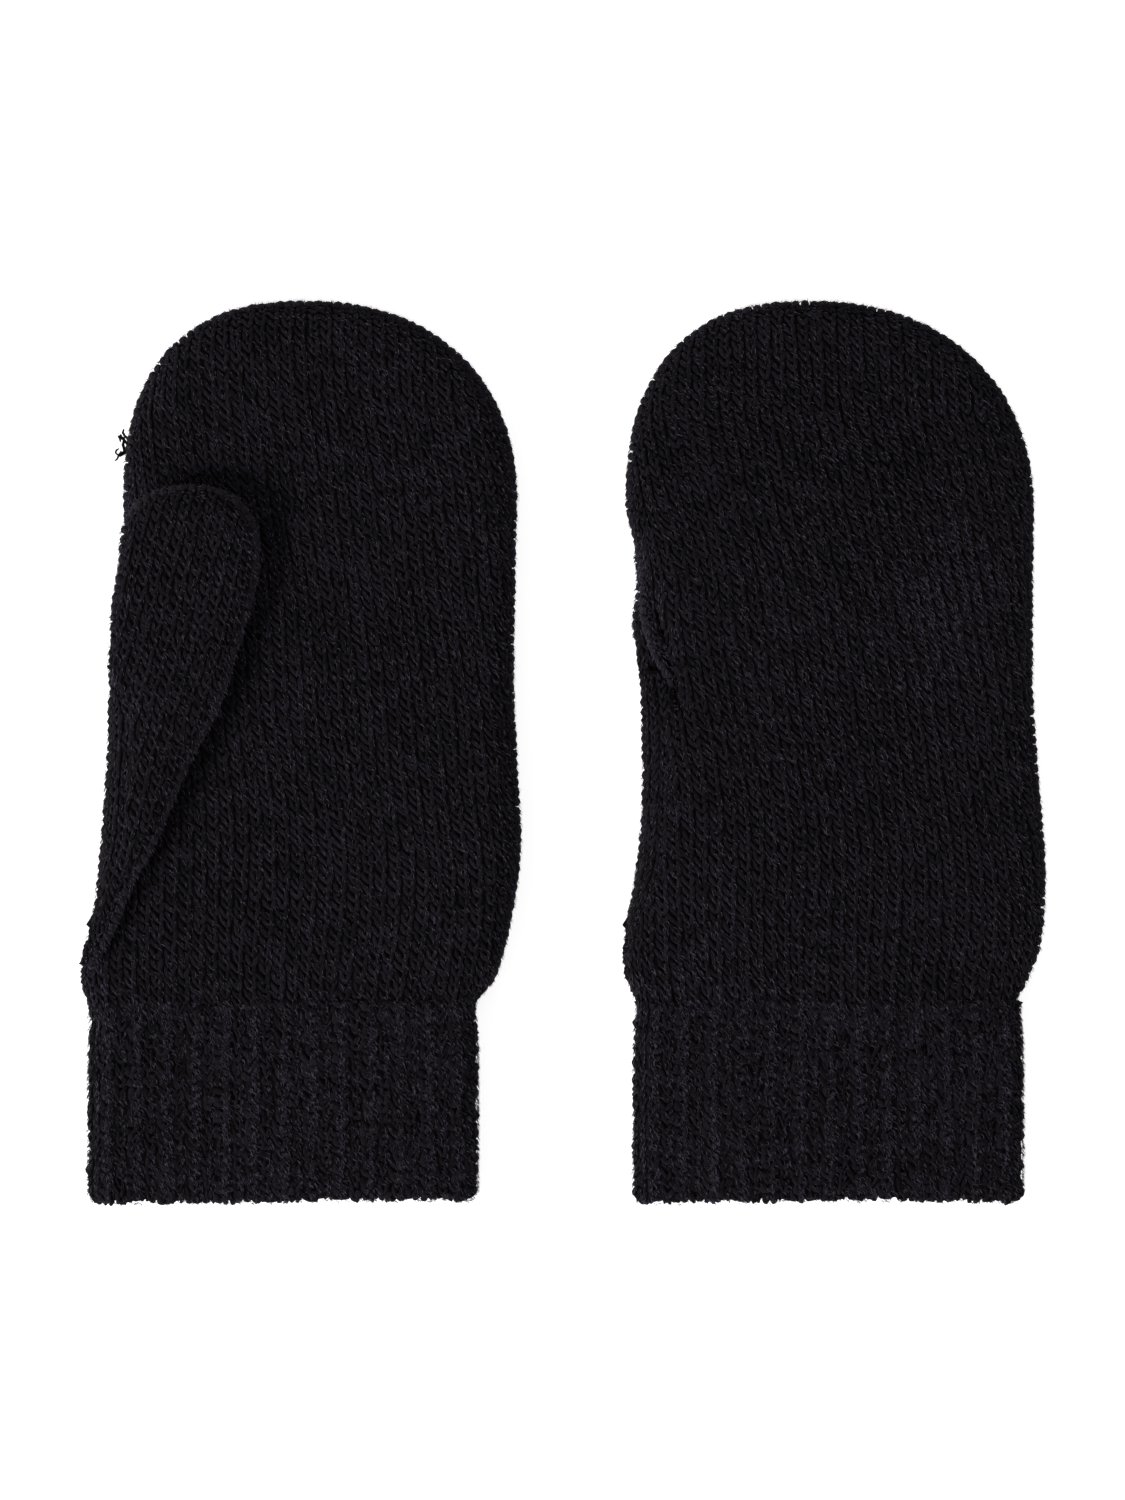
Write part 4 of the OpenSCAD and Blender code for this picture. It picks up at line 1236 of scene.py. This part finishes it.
class MITTEN_OT_gussets(bpy.types.Operator):
    """Knit the gusset strips that carry the thumbs"""
    bl_idname = "mitten.gussets"
    bl_label = "Gussets"

    def execute(self, context):
        with Workshop() as shop:
            for side in (LEFT, RIGHT):
                bodies = (f"{SIDES[side]}_mitten", f"{SIDES[side]}_thumb")
                for outer in (True, False):
                    node = f"{SIDES[side]}_gusset_{'outer' if outer else 'inner'}"
                    gusset(shop, Mitten(side), outer, node, bodies)
        return {"FINISHED"}


class MITTEN_OT_cuffs(bpy.types.Operator):
    """Knit the ribbed cuffs and their side seams"""
    bl_idname = "mitten.cuffs"
    bl_label = "Cuffs"

    def execute(self, context):
        with Workshop() as shop:
            for side in (LEFT, RIGHT):
                name = SIDES[side]
                ribbed_cuff(shop, Mitten(side), f"{name}_cuff", f"{name}_mitten")
                low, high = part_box(f"{name}_cuff_seam")
                middle, r = (low + high) / 2, (high.z - low.z) / 2
                y = np.arange(low.y + r, high.y - r, 1.3 * MM)
                sway = 0.15 * MM
                points = np.stack([middle.x + sway * np.sin(y * 900), y,
                                   middle.z + sway * np.cos(y * 700)], axis=-1)
                seam = new_object(f"{name}_cuff_seam_yarn", *strand(points, 0.9 * r, 8))
                seam.data.materials.append(yarn("black_yarn"))
                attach(seam, f"{name}_mitten")
                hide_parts(f"{name}_cuff_seam")
        return {"FINISHED"}


class MITTEN_OT_seams(bpy.types.Operator):
    """Sew the hands and the thumbs shut along their edges"""
    bl_idname = "mitten.seams"
    bl_label = "Sewn edges"

    def execute(self, context):
        with Workshop() as shop:
            for side in (LEFT, RIGHT):
                name, mitten = SIDES[side], Mitten(side)
                sewn_edge(shop, mitten, HAND, 0.65, f"{name}_closing_seam", f"{name}_mitten")
                sewn_edge(shop, mitten, THUMB, 0.71, f"{name}_thumb_seam", f"{name}_thumb")
        return {"FINISHED"}


class MITTEN_OT_yarn_ends(bpy.types.Operator):
    """Leave the two loose yarn ends of the left mitten"""
    bl_idname = "mitten.yarn_ends"
    bl_label = "Yarn ends"

    def execute(self, context):
        for node, way, long, count in (("left_thread_tail", (-1, 0.15, 0), 6.5 * MM, 7),
                                       ("left_cuff_yarn_end", (1, -0.1, 0), 2.6 * MM, 4)):
            low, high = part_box(node)
            start = (high.x if way[0] < 0 else low.x, (low.y + high.y) / 2, (low.z + high.z) / 2)
            tuft(node, "left_mitten", start, way, long, count)
        return {"FINISHED"}


class MITTEN_OT_stage(bpy.types.Operator):
    """Set up the floor, the lights and the camera of the photo"""
    bl_idname = "mitten.stage"
    bl_label = "Stage"

    def execute(self, context):
        scene = context.scene
        corners = [(x * FLOOR_REACH, y * FLOOR_REACH, -FLOOR_DROP)
                   for x, y in ((-1, -1), (1, -1), (1, 1), (-1, 1))]
        floor = new_object("floor", corners, [(0, 1, 2, 3)], smooth=False)
        material = bpy.data.materials.new("white_paper")
        material.use_nodes = True
        tree = material.node_tree
        tree.nodes.clear()
        tint = linear(scene.mitten_colours.floor)
        paper = add_node(tree, "ShaderNodeBsdfDiffuse", {
            "Color": tuple(c * PAPER_GREY for c in tint[:3]) + (1,)})
        lit = add_node(tree, "ShaderNodeMath", {0: seen_directly(tree), 1: PAPER_GLOW},
                       operation="MULTIPLY")
        glow = add_node(tree, "ShaderNodeEmission", {"Color": tint, "Strength": lit.outputs[0]})
        both = add_node(tree, "ShaderNodeAddShader", {0: paper.outputs[0], 1: glow.outputs[0]})
        tree.links.new(both.outputs[0], add_node(tree, "ShaderNodeOutputMaterial").inputs[0])
        floor.data.materials.append(material)

        world = bpy.data.worlds.new("studio")
        scene.world = world
        world.use_nodes = True
        tree = world.node_tree
        tree.nodes.clear()
        strength = add_node(tree, "ShaderNodeMapRange", {
            "Value": seen_directly(tree), "To Min": WORLD_STRENGTH, "To Max": 1.0})
        sky = add_node(tree, "ShaderNodeBackground", {
            "Color": (1, 1, 1, 1), "Strength": strength.outputs[0]})
        tree.links.new(sky.outputs[0], add_node(tree, "ShaderNodeOutputWorld").inputs[0])

        for name, place, wide, power in LAMPS:
            light = bpy.data.lights.new(name, "AREA")
            light.shape, light.size, light.energy = "DISK", wide, power
            lamp = bpy.data.objects.new(name, light)
            scene.collection.objects.link(lamp)
            lamp.location = place
            lamp.rotation_euler = (-Vector(place)).to_track_quat("-Z", "Y").to_euler()

        camera = bpy.data.cameras.new("camera")
        camera.lens = camera.sensor_width * CAMERA_DISTANCE / FRAME_HEIGHT
        view = bpy.data.objects.new("camera", camera)
        scene.collection.objects.link(view)
        view.location = (0, 0, CAMERA_DISTANCE + 0.01)
        scene.camera = view
        scene.view_settings.view_transform = "Standard"
        return {"FINISHED"}


class MITTEN_PT_panel(bpy.types.Panel):
    """Sizes, colours and build steps of the mittens"""
    bl_idname = "MITTEN_PT_panel"
    bl_label = "Mittens"
    bl_space_type = "VIEW_3D"
    bl_region_type = "UI"
    bl_category = "Mittens"

    def draw(self, context):
        scene = context.scene
        for group in (scene.mitten_sizes, scene.knit_sizes, scene.mitten_colours):
            box = self.layout.box()
            for prop in group.bl_rna.properties:
                if prop.identifier in type(group).__annotations__:
                    box.prop(group, prop.identifier)
        for step in STEPS:
            self.layout.operator(step.bl_idname)


STEPS = (MITTEN_OT_hands, MITTEN_OT_thumbs, MITTEN_OT_gussets, MITTEN_OT_cuffs, MITTEN_OT_seams,
         MITTEN_OT_yarn_ends, MITTEN_OT_stage)
GROUPS = (("mitten_sizes", MittenSizes), ("knit_sizes", KnitSizes), ("mitten_colours", MittenColours))


def register():
    for cls in [g for _, g in GROUPS] + list(STEPS) + [MITTEN_PT_panel]:
        bpy.utils.register_class(cls)
    for name, group in GROUPS:
        setattr(bpy.types.Scene, name, bpy.props.PointerProperty(type=group))


def unregister():
    for name, _ in GROUPS:
        delattr(bpy.types.Scene, name)
    for cls in [MITTEN_PT_panel] + list(STEPS) + [g for _, g in GROUPS]:
        bpy.utils.unregister_class(cls)


def main():
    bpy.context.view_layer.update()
    register()
    for step in STEPS:
        getattr(bpy.ops.mitten, step.bl_idname.split(".")[1])()


if __name__ == "__main__":
    main()
